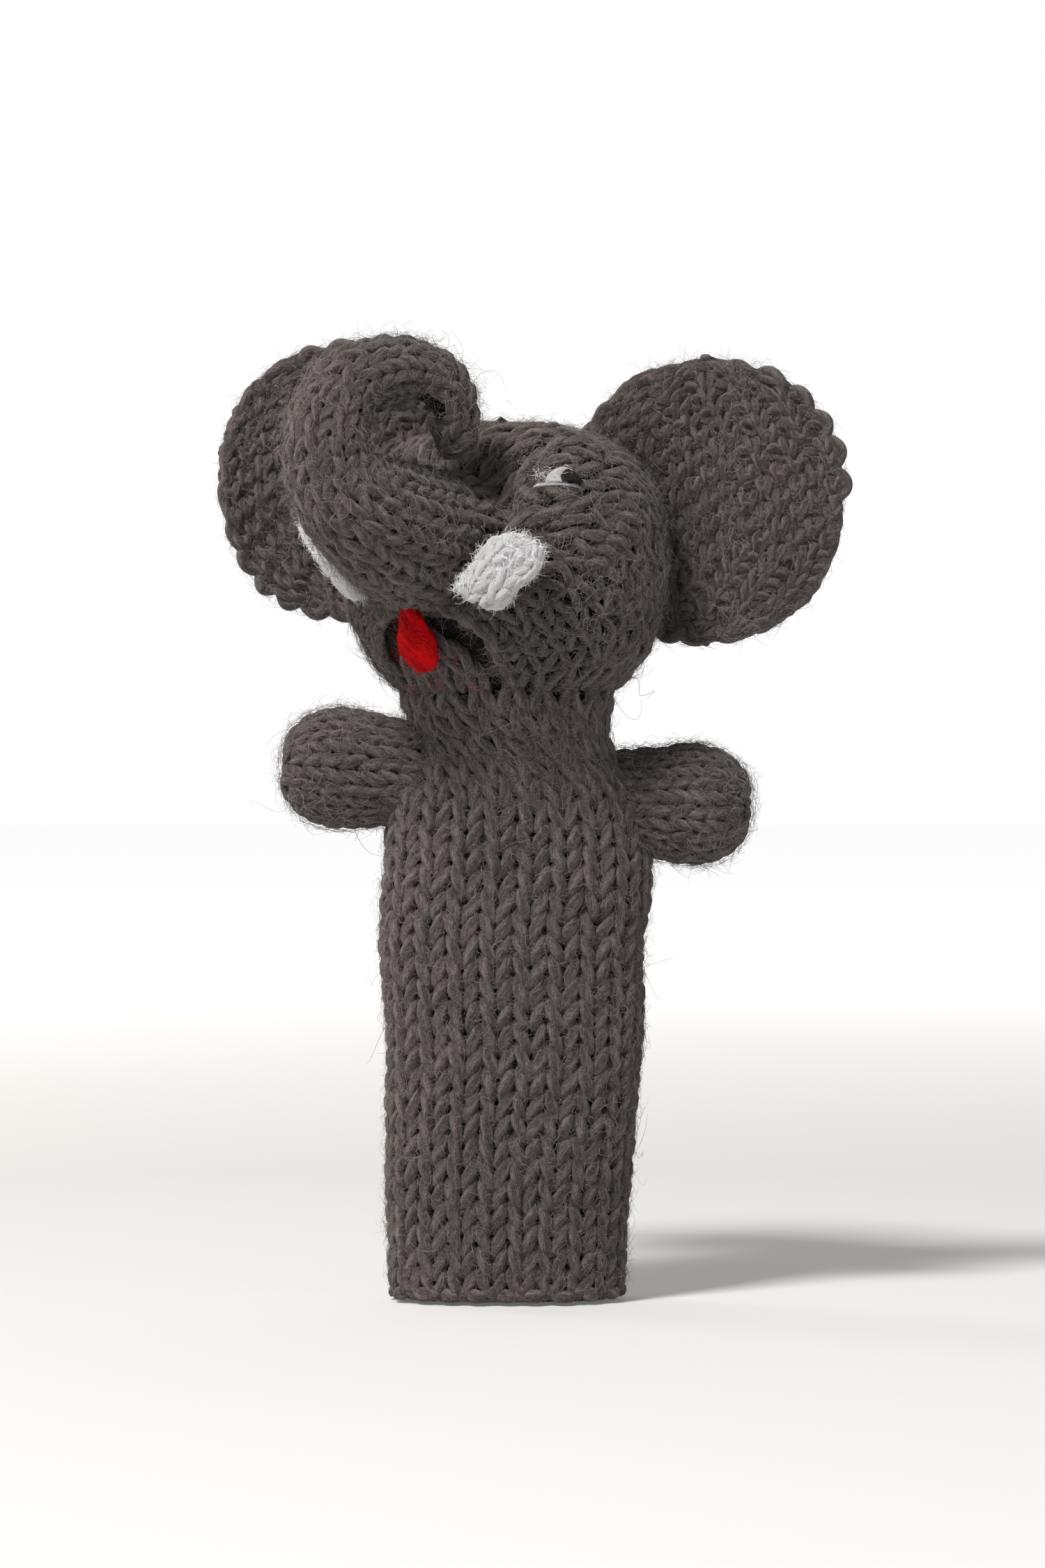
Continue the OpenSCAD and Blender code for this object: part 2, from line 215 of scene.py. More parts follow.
# ---- skins ---------------------------------------------------------------------------------
class Skin:
    """A surface: at(u, v) gives points; u goes round it from 0 to 1 and v along it, in courses."""

    def __init__(self, at, flip=1.0, reach=1e-2):
        self.at, self.flip, self.reach = at, flip, reach

    def frame(self, u, v):
        """Points, outward normals, and the millimetres in one unit of u and in one course."""
        du = (self.at(u + 1e-3, v) - self.at(u - 1e-3, v)) / 2e-3
        dv = (self.at(u, v + 1e-2) - self.at(u, v - 1e-2)) / 2e-2
        wide = self.at(u, v + self.reach) - self.at(u, v - self.reach)
        normal = unit(np.cross(du, wide)) * self.flip
        return self.at(u, v), normal, np.linalg.norm(du, axis=-1), np.linalg.norm(dv, axis=-1)


# ---- knitting ------------------------------------------------------------------------------
LOOP_SAMPLES = 16
YARN_SIDES = 8
LOOP_SPREAD = 0.235     # how far a loop's shoulders bulge past its feet, in wales
LOOP_HEIGHT = 0.9       # half the height of a loop, in courses
LOOP_DEPTH = 0.56       # how far a loop's legs stand in front of its head and feet
FABRIC_LIFT = -1.05     # where the middle of the fabric is, from its outer face
ROOM = 0.36             # a stitch is made where there is room for this much of a normal one


def even_wales(count):
    """Wale boundaries for a fabric with the same number of stitches in every course."""
    return lambda v: np.broadcast_to(np.linspace(0, 1, count + 1), np.shape(v) + (count + 1,))


def shaped_wales(lives):
    """Wale boundaries where stitches are made and dropped: lives has each wale's first and last course."""
    lives = np.array(lives, float)

    def at(v):
        v = np.asarray(v, float)[..., None]
        born, dead = smooth(v, lives[:, 0] - 1, lives[:, 0] + 1), smooth(v, lives[:, 1] - 1, lives[:, 1] + 1)
        widths = np.maximum(born * (1 - dead), 1e-4)
        edges = np.concatenate([np.zeros(widths.shape[:-1] + (1,)), np.cumsum(widths, -1)], -1)
        return edges / edges[..., -1:]
    return at


def unbroken(there, wraps):
    """The places of the True values as unbroken runs, going on past the end where the fabric is a tube."""
    if there.all():
        return [np.arange(len(there))]
    cuts = np.flatnonzero(np.diff(there.astype(int))) + 1
    runs = [r for r in np.split(np.arange(len(there)), cuts) if there[r[0]]]
    if wraps and len(runs) > 1 and runs[0][0] == 0 and runs[-1][-1] == len(there) - 1:
        runs[0] = np.concatenate([runs.pop(), runs[0] + len(there)])
    return runs


def course_path(wales, v0, stitches, signs, closed, rng):
    """One course's yarn: u, v and height over the skin.  Stitch numbers may go on past the last wale."""
    t = (np.arange(LOOP_SAMPLES) + 0.5) / LOOP_SAMPLES * 2 * math.pi - math.pi
    count = len(stitches)
    t_all = np.tile(t, (count, 1))
    loop = LOOP_HEIGHT * rng.uniform(0.92, 1.08, (count, 1)) * np.cos(t_all)
    v = v0 + loop + rng.normal(0, 0.03, (count, 1))
    edges = wales(v.reshape(-1)).reshape(count, LOOP_SAMPLES, -1)
    lap, k = np.divmod(stitches, edges.shape[-1] - 1)
    low = np.take_along_axis(edges, k[:, None, None], -1)[..., 0]
    high = np.take_along_axis(edges, k[:, None, None] + 1, -1)[..., 0]
    spread = LOOP_SPREAD * rng.uniform(0.85, 1.15, (count, 1))
    u = lap[:, None] + low + (high - low) * (t_all / (2 * math.pi) + 0.5 + spread * np.sin(2 * t_all))
    before, after = np.roll(signs, 1), np.roll(signs, -1)
    if not closed:
        before[0], after[-1] = signs[0], signs[-1]
    face = np.where(t_all < -0.75 * math.pi, ((signs + before) / 2)[:, None], signs[:, None])
    face = np.where(t_all > 0.75 * math.pi, ((signs + after) / 2)[:, None], face)
    height = -face * LOOP_DEPTH * np.cos(2 * t_all)
    if not closed:
        height.flat[:3] -= [0.6, 0.4, 0.2]
        height.flat[-3:] -= [0.2, 0.4, 0.6]
    return u.reshape(-1), v.reshape(-1), height.reshape(-1)


def knit(batch, skin, wales, courses, seed, closed=True, sign=None, keep=None, radius=YARN, wale=WALE,
         course=COURSE, lift=FABRIC_LIFT, unevenness=0.13):
    """Lays the yarn of each course.  sign(course, stitch) is 1 for a knit stitch and -1 for a purl one,
    keep() says from its middle if a stitch is there, and closed says if the courses go all the way round."""
    for j in courses:
        rng = np.random.default_rng(seed * 1000 + int(j * 10))
        edges = wales(np.array(float(j)))
        middle = (edges[:-1] + edges[1:]) / 2
        p, _, across, along = skin.frame(middle, np.full(middle.shape, float(j)))
        live = np.flatnonzero(np.diff(edges) * across > ROOM * wale)
        if len(live) < 2:
            continue
        there = along[live] > ROOM * course
        if keep is not None:
            there &= keep(p[live])
        for run in unbroken(there, closed):
            whole = closed and len(run) == len(live)
            lap, place = np.divmod(run, len(live))
            stitches = live[place] + lap * len(middle)
            signs = np.array([1.0 if sign is None else sign(j, k) for k in live[place]])
            u, v, h = course_path(wales, j, stitches, signs, whole, rng)
            p, n, across, along = skin.frame(u, v)
            room = np.repeat(np.diff(edges)[live[place]], LOOP_SAMPLES) * across / wale
            size = np.clip(np.minimum(room, 0.35 + 0.8 * along / course), 0.5, 1.12)
            size = np.convolve(np.pad(size, 5, "wrap" if whole else "edge"), np.ones(11) / 11, "valid")
            p = p + n * (h * size + lift)[:, None]
            p = p + unevenness * (wobble(p, 7, seed) + 0.5 * wobble(p, 2.6, seed + 1))
            r = radius * (0.45 + 0.55 * size) * (1 + 0.07 * wobble(p, 3, seed + 2)[:, 0])
            tint = 0.5 + 0.5 * wobble(p, 9, seed + 3)[:, :1]
            tube(batch, p, n, r, YARN_SIDES, whole, depth=h * size + lift, tint=tint, phase=17.3 * j)


def lining(batch, skin, v_low, v_high, rows, columns, closed=True, top=-0.95, thick=0.3, slot=1,
           u_range=(0, 1), depth=-1.2):
    """The web of yarn backs behind the stitches: a thin closed sheet, darkened with painted shade through its
    depth, and in the default slot also by the web material, painted darker still.
    """
    around = np.arange(columns) / columns if closed else np.linspace(*u_range, columns)
    u, v = np.meshgrid(around, np.linspace(v_low, v_high, rows))
    p, n, _, _ = skin.frame(u, v)
    top = top(u, v)[..., None] if callable(top) else top
    points = np.concatenate([p + n * top, (p + n * (top - thick))[::-1]])
    faces = [grid_faces(2 * rows, columns, True, closed)]
    if not closed:
        a = np.arange(rows - 1)
        for c in (0, columns - 1):
            quad = np.stack([a, a + 1, 2 * rows - 2 - a, 2 * rows - 1 - a], -1) * columns + c
            faces.append(quad if c else quad[:, ::-1])
    if skin.flip > 0:
        faces = [f[:, ::-1] for f in faces]
    yarn = np.zeros(points.shape)
    yarn[..., 2] = depth
    batch.add(points, faces, yarn, 0.3, slot)


# ---- loose fibres --------------------------------------------------------------------------
def scatter(skin, v_low, v_high, density, rng, keep=None):
    """Even random places on a skin, density to the square millimetre: points and normals."""
    tries = rng.uniform(0, 1, (600, 2))
    _, _, across, along = skin.frame(tries[:, 0], mix(v_low, v_high, tries[:, 1]))
    cell = across * along
    most = np.quantile(cell, 0.98) * 1.1
    count = int(density * most * (v_high - v_low))
    u, v = rng.uniform(0, 1, count), rng.uniform(v_low, v_high, count)
    p, n, across, along = skin.frame(u, v)
    good = rng.uniform(0, 1, count) * most < across * along
    if keep is not None:
        good &= keep(p)
    return p[good], n[good]


def grow(batch, p, n, seed, length=(1.1, 4.2), stand=(0.0, 0.55), root=0.0, radius=0.019, slot=2, steps=3):
    """Fibres from points: thin closed tubes that curl over the surface; stand is their height as a share
    of their length."""
    rng = np.random.default_rng(seed)
    count = len(p)
    if not count:
        return
    a = unit(np.cross(n, rng.normal(0, 1, (count, 3))))
    b = np.cross(n, a)
    size = rng.uniform(0, 1, count) ** 1.7 * (length[1] - length[0]) + length[0]
    rise = (rng.uniform(0, 1, count) ** 2.4 * (stand[1] - stand[0]) + stand[0]) * size
    curl = rng.normal(0, 1.0, count)
    heading, spot = np.zeros(count), p + n * (root + rng.uniform(-0.3, 0.1, count))[:, None]
    path = [spot]
    for k in range(1, steps + 1):
        heading = heading + curl * size / steps * rng.uniform(0.7, 1.3, count)
        move = a * np.cos(heading)[:, None] + b * np.sin(heading)[:, None]
        spot = spot + move * (0.85 * size / steps)[:, None]
        path.append(spot + n * (rise * math.sin(0.5 * math.pi * min(1.0, 1.2 * k / steps)) * 0.6)[:, None])
    path = np.stack(path, 1)
    side = unit(np.cross(unit(np.gradient(path, axis=1)), n[:, None]))
    out = np.cross(side, unit(np.gradient(path, axis=1)))
    taper = np.linspace(1.15, 0.4, steps + 1)[None, :, None, None]
    width = radius * taper * rng.uniform(0.7, 1.4, (count, 1, 1, 1))
    angle = np.arange(3)[:, None] * 2 * math.pi / 3
    points = path[:, :, None] + width * (np.cos(angle) * side[:, :, None] + np.sin(angle) * out[:, :, None])
    first = (np.arange(count) * 3 * (steps + 1))[:, None, None]
    quads = (grid_faces(steps + 1, 3, False, True)[None] + first).reshape(-1, 4)
    ends = np.concatenate([np.array([[[0, 1, 2]]]) + first, np.array([[[2, 1, 0]]]) + 3 * steps + first], 1)
    yarn = np.zeros(points.shape)
    yarn[..., 2] = 0.8
    tint = np.broadcast_to(rng.uniform(0, 1, (count, 1, 1)), points.shape[:-1])
    batch.add(points, [quads, ends.reshape(-1, 3)], yarn, tint, slot)


# ---- materials -----------------------------------------------------------------------------
class Nodes:
    """A short way to build the shader of a material."""

    def __init__(self, material):
        material.use_nodes = True
        self.tree = material.node_tree
        self.bsdf = next(n for n in self.tree.nodes if n.type == "BSDF_PRINCIPLED")

    def new(self, kind, **values):
        node = self.tree.nodes.new(kind)
        for key, value in values.items():
            if hasattr(node, key):
                setattr(node, key, value)
            else:
                node.inputs[key.replace("_", " ")].default_value = value
        return node

    def link(self, a, b):
        self.tree.links.new(a, b)

    def math(self, operation, a, b=None):
        node = self.new("ShaderNodeMath", operation=operation)
        for i, x in enumerate((a, b)):
            if x is None:
                continue
            if isinstance(x, (int, float)):
                node.inputs[i].default_value = x
            else:
                self.link(x, node.inputs[i])
        return node.outputs[0]

    def painted_crease_shade(self):
        """Painted shade: white in the open and dark in a crease."""
        return self.ramp(self.new("ShaderNodeAttribute", attribute_name="painted_crease_shade").outputs["Fac"],
                         [(0.0, (1.0, 1.0, 1.0)), (1.0, (0.2, 0.18, 0.17))])

    def ramp(self, value, stops):
        node = self.new("ShaderNodeValToRGB")
        elements = node.color_ramp.elements
        while len(elements) < len(stops):
            elements.new(0.5)
        for e, (at, colour) in zip(elements, stops):
            e.position, e.color = at, (*colour, 1)
        self.link(value, node.inputs[0])
        return node.outputs[0]

    def noise(self, vector, scale, detail=3.0, rough=0.55):
        node = self.new("ShaderNodeTexNoise")
        node.inputs["Scale"].default_value = scale
        node.inputs["Detail"].default_value = detail
        node.inputs["Roughness"].default_value = rough
        self.link(vector, node.inputs["Vector"])
        return node.outputs["Fac"]

    def multiply(self, a, b):
        node = self.new("ShaderNodeMix", data_type="RGBA", blend_type="MULTIPLY")
        node.inputs[0].default_value = 1.0
        self.link(a, node.inputs[6])
        self.link(b, node.inputs[7])
        return node.outputs[2]


PLIES = 3.0             # strands that the yarn is twisted from
TWIST = 0.4             # turn of the fibres about the yarn, in radians to the millimetre


def yarn_material(name, dark, mid, light, sheen=0.35, floor=0.07, mottle=0.45, sheen_tint=(0.55, 0.5, 0.48)):
    """Spun yarn: fibre streaks that wind round it, mottled, and with painted shade that darkens it to floor
    down in the fabric.
    """
    material = bpy.data.materials.new(name)
    n = Nodes(material)
    yarn = n.new("ShaderNodeAttribute", attribute_name="yarn").outputs["Vector"]
    tint = n.new("ShaderNodeAttribute", attribute_name="tint").outputs["Fac"]
    split = n.new("ShaderNodeSeparateXYZ")
    n.link(yarn, split.inputs[0])
    along, angle, depth = split.outputs
    wound = n.math("ADD", angle, n.math("MULTIPLY", along, TWIST))
    ring_x, ring_y = n.math("COSINE", wound), n.math("SINE", wound)
    streaks = n.new("ShaderNodeCombineXYZ")
    n.link(n.math("MULTIPLY", ring_x, 3.0), streaks.inputs[0])
    n.link(n.math("MULTIPLY", ring_y, 3.0), streaks.inputs[1])
    n.link(n.math("MULTIPLY", along, 0.45), streaks.inputs[2])
    streak = n.noise(streaks.outputs[0], 3.0, 4.0, 0.65)
    place = n.new("ShaderNodeTexCoord").outputs["Object"]
    fine = n.noise(place, 3800.0, 3.0, 0.6)
    patches = n.noise(place, 160.0, 2.0, 0.5)
    uneven = n.math("MULTIPLY", n.noise(place, 500.0, 2.0), 3.0)
    ply = n.math("COSINE", n.math("ADD", n.math("MULTIPLY", wound, PLIES), uneven))
    shade = n.math("ADD", n.math("MULTIPLY", streak, 0.7), n.math("MULTIPLY", fine, 0.3))
    # the plies' ridges are painted a little lighter and the grooves between them darker: painted shade
    shade = n.math("ADD", shade, n.math("MULTIPLY", ply, 0.05))
    colour = n.ramp(shade, [(0.38, dark), (0.5, mid), (0.62, light)])
    drift = n.math("ADD", n.math("MULTIPLY", tint, mottle * 0.5), n.math("MULTIPLY", patches, mottle))
    colour = n.multiply(colour, n.ramp(drift, [(0.0, (0.72, 0.71, 0.7)), (0.7, (1.12, 1.12, 1.12))]))
    # painted shade: the deeper a point lies in the fabric, the darker it is, down to floor
    low = n.math("MULTIPLY_ADD", depth, 0.62)
    low.node.inputs[2].default_value = 0.95
    colour = n.multiply(colour, n.ramp(low, [(0.0, (floor,) * 3), (1.0, (1.0, 1.0, 1.0))]))
    # painted shade in the creases darkens the colour
    colour = n.multiply(colour, n.painted_crease_shade())
    n.link(colour, n.bsdf.inputs["Base Color"])
    height = n.math("ADD", n.math("MULTIPLY", streak, 0.8), n.math("MULTIPLY", fine, 0.5))
    height = n.math("ADD", height, n.math("MULTIPLY", ply, 0.16))
    relief = n.new("ShaderNodeBump")
    relief.inputs["Strength"].default_value = 0.8
    relief.inputs["Distance"].default_value = 0.0006
    n.link(height, relief.inputs["Height"])
    n.link(relief.outputs[0], n.bsdf.inputs["Normal"])
    n.bsdf.inputs["Roughness"].default_value = 0.92
    n.bsdf.inputs["Specular IOR Level"].default_value = 0.15
    n.bsdf.inputs["Sheen Weight"].default_value = sheen
    n.bsdf.inputs["Sheen Roughness"].default_value = 0.5
    n.bsdf.inputs["Sheen Tint"].default_value = (*sheen_tint, 1)
    return material


def fibre_material(name, dark, light, sheen=0.3):
    """Loose single fibres: paler than the yarn, each with its own shade."""
    material = bpy.data.materials.new(name)
    n = Nodes(material)
    tint = n.new("ShaderNodeAttribute", attribute_name="tint").outputs["Fac"]
    place = n.new("ShaderNodeTexCoord").outputs["Object"]
    shade = n.math("ADD", n.math("MULTIPLY", tint, 0.75), n.math("MULTIPLY", n.noise(place, 900.0, 2.0), 0.3))
    # the fibres get the painted crease shade too
    n.link(n.multiply(n.ramp(shade, [(0.15, dark), (0.9, light)]), n.painted_crease_shade()), n.bsdf.inputs["Base Color"])
    n.bsdf.inputs["Roughness"].default_value = 0.8
    n.bsdf.inputs["Specular IOR Level"].default_value = 0.2
    n.bsdf.inputs["Sheen Weight"].default_value = sheen
    return material


WOOL = yarn_material("grey_wool", (0.03, 0.023, 0.022), (0.092, 0.073, 0.071), (0.24, 0.198, 0.194))
# the body's grey wool, painted darker on the ears as the shade they lie in
EAR_WOOL_SHADED = yarn_material("grey_wool_ears_shaded", (0.024, 0.018, 0.017), (0.076, 0.06, 0.058), (0.2, 0.165, 0.16))
# the back of the same grey wool, painted near black as the shade between the stitches
WEB_PAINTED_DARK = yarn_material("wool_inside_shaded", (0.012, 0.009, 0.008), (0.02, 0.016, 0.015), (0.03, 0.025, 0.024),
                    sheen=0.0)
FIBRE = fibre_material("wool_fibres", (0.07, 0.056, 0.053), (0.27, 0.228, 0.215))
WHITE_YARN = yarn_material("white_yarn", (0.72, 0.72, 0.74), (0.88, 0.88, 0.9), (0.95, 0.95, 0.96),
                           floor=0.75, mottle=0.1, sheen=0.6, sheen_tint=(1, 1, 1))
WHITE_FIBRE = fibre_material("white_fibres", (0.85, 0.85, 0.87), (0.95, 0.95, 0.96), sheen=0.6)
BLACK_YARN = yarn_material("black_yarn", (0.004, 0.003, 0.003), (0.01, 0.008, 0.008), (0.025, 0.022, 0.022),
                           sheen=0.1)
BLACK_FELT = yarn_material("black_felt", (0.004, 0.003, 0.003), (0.012, 0.009, 0.009), (0.03, 0.024, 0.023),
                           sheen=0.15)
RED_FELT = yarn_material("red_felt", (0.28, 0.0, 0.001), (0.6, 0.0, 0.002), (0.85, 0.001, 0.004), floor=0.4,
                         sheen=0.0, mottle=0.3)
BLACK_FIBRE = fibre_material("black_fibres", (0.006, 0.004, 0.004), (0.04, 0.03, 0.028), sheen=0.05)
RED_FIBRE = fibre_material("red_fibres", (0.4, 0.0, 0.002), (0.8, 0.006, 0.01), sheen=0.0)
GREY = [WOOL, WEB_PAINTED_DARK, FIBRE]


# ---- putting pieces together ----------------------------------------------------------------
def place(batch, name, materials, slot, body=None, bend=None, nodes=(), fill=None):
    """Makes the batch's mesh, hangs it on the body that it rides on or, for fabric that bends, leaves it
    fixed in the world's frame, and hides its CAD nodes.
    """
    obj = batch.make(name, materials)
    if bend:
        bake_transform(obj)
    else:
        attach(obj, body)
    if nodes:
        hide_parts(*nodes)
    return obj


FUZZ = 3.0              # loose fibres to the square millimetre
STRAY = 0.005           # the share of the fibres that have a long one beside them

# ---- sleeve and neck -----------------------------------------------------------------------
SLEEVE_BOXINESS = 0.78
SLEEVE_WALES = 20
SLEEVE_ROWS = 27
NECK_TOP = 73.6
HEM_Z = NECK_TOP - SLEEVE_ROWS * COURSE
GATHER_RADIUS = 7.05


def sleeve_half_width(z):
    return mix(14.3, 16.4, np.minimum(1, z / 50)) - 0.011 * np.maximum(0, z - 50) ** 2


def sleeve_half_depth(z):
    return 8 - 0.1 * (np.maximum(0, z - 62) / 2) ** 2


def even_angles():
    """Shares of the way round the sleeve's outline, from the front, and the angles that they are at."""
    t = np.linspace(0, 2 * math.pi, 2001)
    x, y = 15.5 * bulge(np.sin(t), SLEEVE_BOXINESS), -8 * bulge(np.cos(t), SLEEVE_BOXINESS)
    s = np.concatenate([[0], np.cumsum(np.hypot(np.diff(x), np.diff(y)))])
    return s / s[-1], t


ROUND_SHARE, ROUND_ANGLE = even_angles()


def head_share(dz, half):
    n = np.where(dz > 0, 2.6, 2.1)
    return np.maximum(1 - np.minimum(np.abs(dz) / half, 1) ** n, 1e-6) ** (1 / n)


def head_outside(p, grow_by=0.0):
    """Below 1 inside the head's form, above 1 outside it."""
    q = p - HEAD
    share = head_share(q[..., 2], HEAD_HALF[2] + grow_by)
    return np.hypot(q @ ACROSS / (HEAD_HALF[0] + grow_by), q @ FORWARD / (HEAD_HALF[1] + grow_by)) / share


def head_section(u, z):
    """The head's outline at a height; u is 0 at the middle of the face."""
    share = head_share(z - HEAD[2], HEAD_HALF[2])
    t = 2 * math.pi * u
    return ((HEAD * [1, 1, 0]) + (HEAD_HALF[0] * share * np.sin(t))[..., None] * ACROSS
            + (HEAD_HALF[1] * share * np.cos(t))[..., None] * FORWARD + z[..., None] * UP)


def sleeve_at(u, v):
    u, v = np.broadcast_arrays(np.asarray(u, float), np.asarray(v, float))
    z = HEM_Z + COURSE * v
    angle = np.interp(u % 1, ROUND_SHARE, ROUND_ANGLE)
    low = np.minimum(z, 68.5)
    drift = np.interp(z, [0, 13, 31, 44, 52, 62], [-0.9, -0.8, 0.1, -0.3, 0.5, 0])
    tuck = 1 - 0.06 * np.clip(1 - z / 3.5, 0, 1) ** 2
    x = tuck * sleeve_half_width(low) * bulge(np.sin(angle), SLEEVE_BOXINESS) + drift
    y = -sleeve_half_depth(low) * bulge(np.cos(angle), SLEEVE_BOXINESS)
    body = np.stack([x, y, z], -1)
    neck = head_section(u, np.maximum(z, NECK_TOP)) * [1, 1, 0] + z[..., None] * UP
    return mix(body, neck, smooth(z, 60, NECK_TOP)[..., None])


sleeve = Skin(sleeve_at)
sleeve_wales = even_wales(SLEEVE_WALES)

# ---- head: a tube that bends forward, with its courses fanned out about a line under the chin ----
FAN_FORWARD = 21.0
FAN = HEAD * [1, 1, 0] + FAN_FORWARD * FORWARD + NECK_TOP * UP
FAN_END = math.radians(75)
MOUTH_PEAK = math.radians(73)       # where on the fan the mouth's arch closes
MOUTH_TURN = math.radians(36)       # half the mouth's width at the neck, as a turn about the ring
EVEN_OUT = 0.22                     # how much the wales are moved from the chin's side towards the crown
FULL, CHEEK, CROWN = 1.0, 0.36, 0.2
HEAD_ROWS = [FULL, CHEEK, FULL, CROWN] * 4      # how far from the crown each row of the head reaches
HEAD_TOP = len(HEAD_ROWS) + 1.0                 # where the trunk's own rows start
TRUNK_ROWS = 26
FACE_BLEND = 13.2                               # where the face starts to narrow to the trunk


def row_share(u, v):
    """How far along the head a course is, where short rows end before they reach the chin."""
    off = np.abs(u % 1 - 0.5)
    reach = np.array(HEAD_ROWS)
    weights = np.where(reach == FULL, 1.0, 1 - smooth(off[..., None], reach - 0.07, reach + 0.03) * 0.97)
    passed = np.clip(v[..., None] - np.arange(len(HEAD_ROWS)), 0, 1)
    early = np.minimum(v, 0)
    return (np.sum(weights * passed, -1) + early) / np.sum(weights, -1)


def mouth_turn(b):
    return MOUTH_TURN * np.sqrt(np.maximum(1 - np.minimum(np.maximum(b, 0) / MOUTH_PEAK, 1) ** 6, 0))


def fan_ring(turn, b):
    """Where rays in the fan's plane at angle b meet the head's form; turn is 0 on the chin's side."""
    reach = mix(FAN_FORWARD, 20.0, np.clip(b / FAN_END, 0, 1.1))
    centre = FAN - (np.cos(b) * reach)[..., None] * FORWARD + (np.sin(b) * reach)[..., None] * UP
    inward = np.cos(b)[..., None] * FORWARD - np.sin(b)[..., None] * UP
    ray = np.cos(turn)[..., None] * inward + np.sin(turn)[..., None] * ACROSS
    low, high = np.zeros(turn.shape), np.full(turn.shape, 42.0)
    for _ in range(24):
        half = (low + high) / 2
        inside = head_outside(centre + half[..., None] * ray) < 1
        low, high = np.where(inside, half, low), np.where(inside, high, half)
    return centre + low[..., None] * ray


# ---- trunk ---------------------------------------------------------------------------------
CURL_CENTRE = np.array([-13.3, -18.8, 103.2])
CURL_SLOPE = 0.4
CURL_NORMAL = unit(np.array([CURL_SLOPE, -1.0, 0.0]))
TRUNK_END = 286.0


def curl_point(t):
    r = 8 + 2.8 * np.exp(-t / 45) - 0.0004 * np.maximum(0, t - 190) ** 2
    x = -r * np.sin(np.radians(t))
    return CURL_CENTRE + np.stack([x, CURL_SLOPE * x, -r * np.cos(np.radians(t))], -1)


def trunk_line(t):
    t = np.asarray(t, float)
    to_root = (np.maximum(0, 1 - t / 50) ** 2)[..., None]
    return curl_point(t) + (TRUNK_ROOT - curl_point(np.array(0.0))) * to_root


def trunk_along(t):
    return unit(trunk_line(t + 0.5) - trunk_line(t - 0.5))


def trunk_radius(t):
    tip = np.clip((t - (TRUNK_END - 18)) / 18, 0, 0.999)
    lip = 1.9 * np.exp(-(t / 34) ** 2)
    return (6.9 + lip - 0.0143 * t) * np.sqrt(1 - tip ** 2)


def even_trunk():
    t = np.linspace(0, TRUNK_END, 400)
    s = np.concatenate([[0], np.cumsum(np.linalg.norm(np.diff(trunk_line(t), axis=0), axis=1))])
    return s / s[-1], t


TRUNK_SHARE, TRUNK_ANGLE = even_trunk()


def trunk_ring(turn, t):
    """A ring round the trunk; turn is 0 on its underside, which is the outside of the curl."""
    along = trunk_along(t)
    under = unit(np.cross(CURL_NORMAL, along))
    side = np.cross(along, under)
    r = trunk_radius(t)[..., None]
    return trunk_line(t) + r * (np.cos(turn)[..., None] * under + np.sin(turn)[..., None] * side)


def head_at(u, v, mouth=1.0):
    """v is 0 at the neck and HEAD_TOP where the trunk starts, and goes on along the trunk."""
    u, v = np.broadcast_arrays(np.asarray(u, float), np.asarray(v, float))
    b = np.clip(row_share(u, v) * FAN_END, -0.1, FAN_END * 1.02)
    gap = mouth_turn(b) * mouth
    even = EVEN_OUT * np.sin(np.clip(math.pi * b / FAN_END, 0, math.pi)) / (2 * math.pi)
    spaced = u + even * np.sin(2 * math.pi * u)
    head_points = fan_ring(gap + (2 * math.pi - 2 * gap) * spaced, b)
    t = np.interp((v - HEAD_TOP) / TRUNK_ROWS, TRUNK_SHARE, TRUNK_ANGLE)
    t = t + 8 * np.clip(v - HEAD_TOP, -1.5, 0)
    trunk_points = trunk_ring(2 * math.pi * u, t)
    return mix(head_points, trunk_points, smooth(v, FACE_BLEND, HEAD_TOP + 0.2)[..., None])


head = Skin(head_at, reach=0.7)
whole_head = Skin(lambda u, v: head_at(u, v, 0.0), reach=0.7)      # with no mouth in it


def head_lives():
    """Twelve wales go from the neck to the trunk; the rest widen the head between them."""
    lives = []
    for k in range(12):
        lives.append((-50, (200, 31, 38, 200, 26, 41)[k % 6]))
        lives.append((-50 if k % 3 else 1.5, 11.5 + k % 4 * 0.8))
        if k % 3:
            lives.append((3 + k % 4 * 0.8, 9 + k % 5 * 0.7))
    return lives


head_wales = shaped_wales(head_lives())


# ---- the pieces of the sleeve and neck -----------------------------------------------------
def fabric(name, skin, wales, v_low, v_high, seed, slot="body_wool", fuzz=FUZZ, web_skin=None, web_top=-1.2,
           web_rows=5, web_columns=90, web_past=0.3, stand=(0.0, 0.55), length=(1.1, 4.2), closed=True,
           **where):
    """A stretch of stockinette with its web and loose fibres, from one course boundary to another."""
    batch = Batch()
    for j in np.arange(v_low, v_high) + 0.5:
        knit(batch, skin, wales, [j], seed, closed=closed(j) if callable(closed) else closed)
    rows = int((v_high - v_low) * web_rows) + 1
    lining(batch, web_skin or skin, v_low - 0.3, v_high + web_past, rows, web_columns, top=web_top)
    p, n = scatter(skin, v_low, v_high, fuzz, np.random.default_rng(seed))
    grow(batch, p, n, seed, stand=stand, length=length)
    few = np.random.default_rng(seed + 1).uniform(0, 1, len(p)) < STRAY
    grow(batch, p[few], n[few], seed + 2, stand=(0.1, 0.8), length=(4.5, 10.0), radius=0.026, steps=9)
    place(batch, name, GREY, slot, **where)


def on_axis(low, high):
    """Two points on the neck's axis, between which fabric bends."""
    return point(0, 0, low), point(0, 0, high)


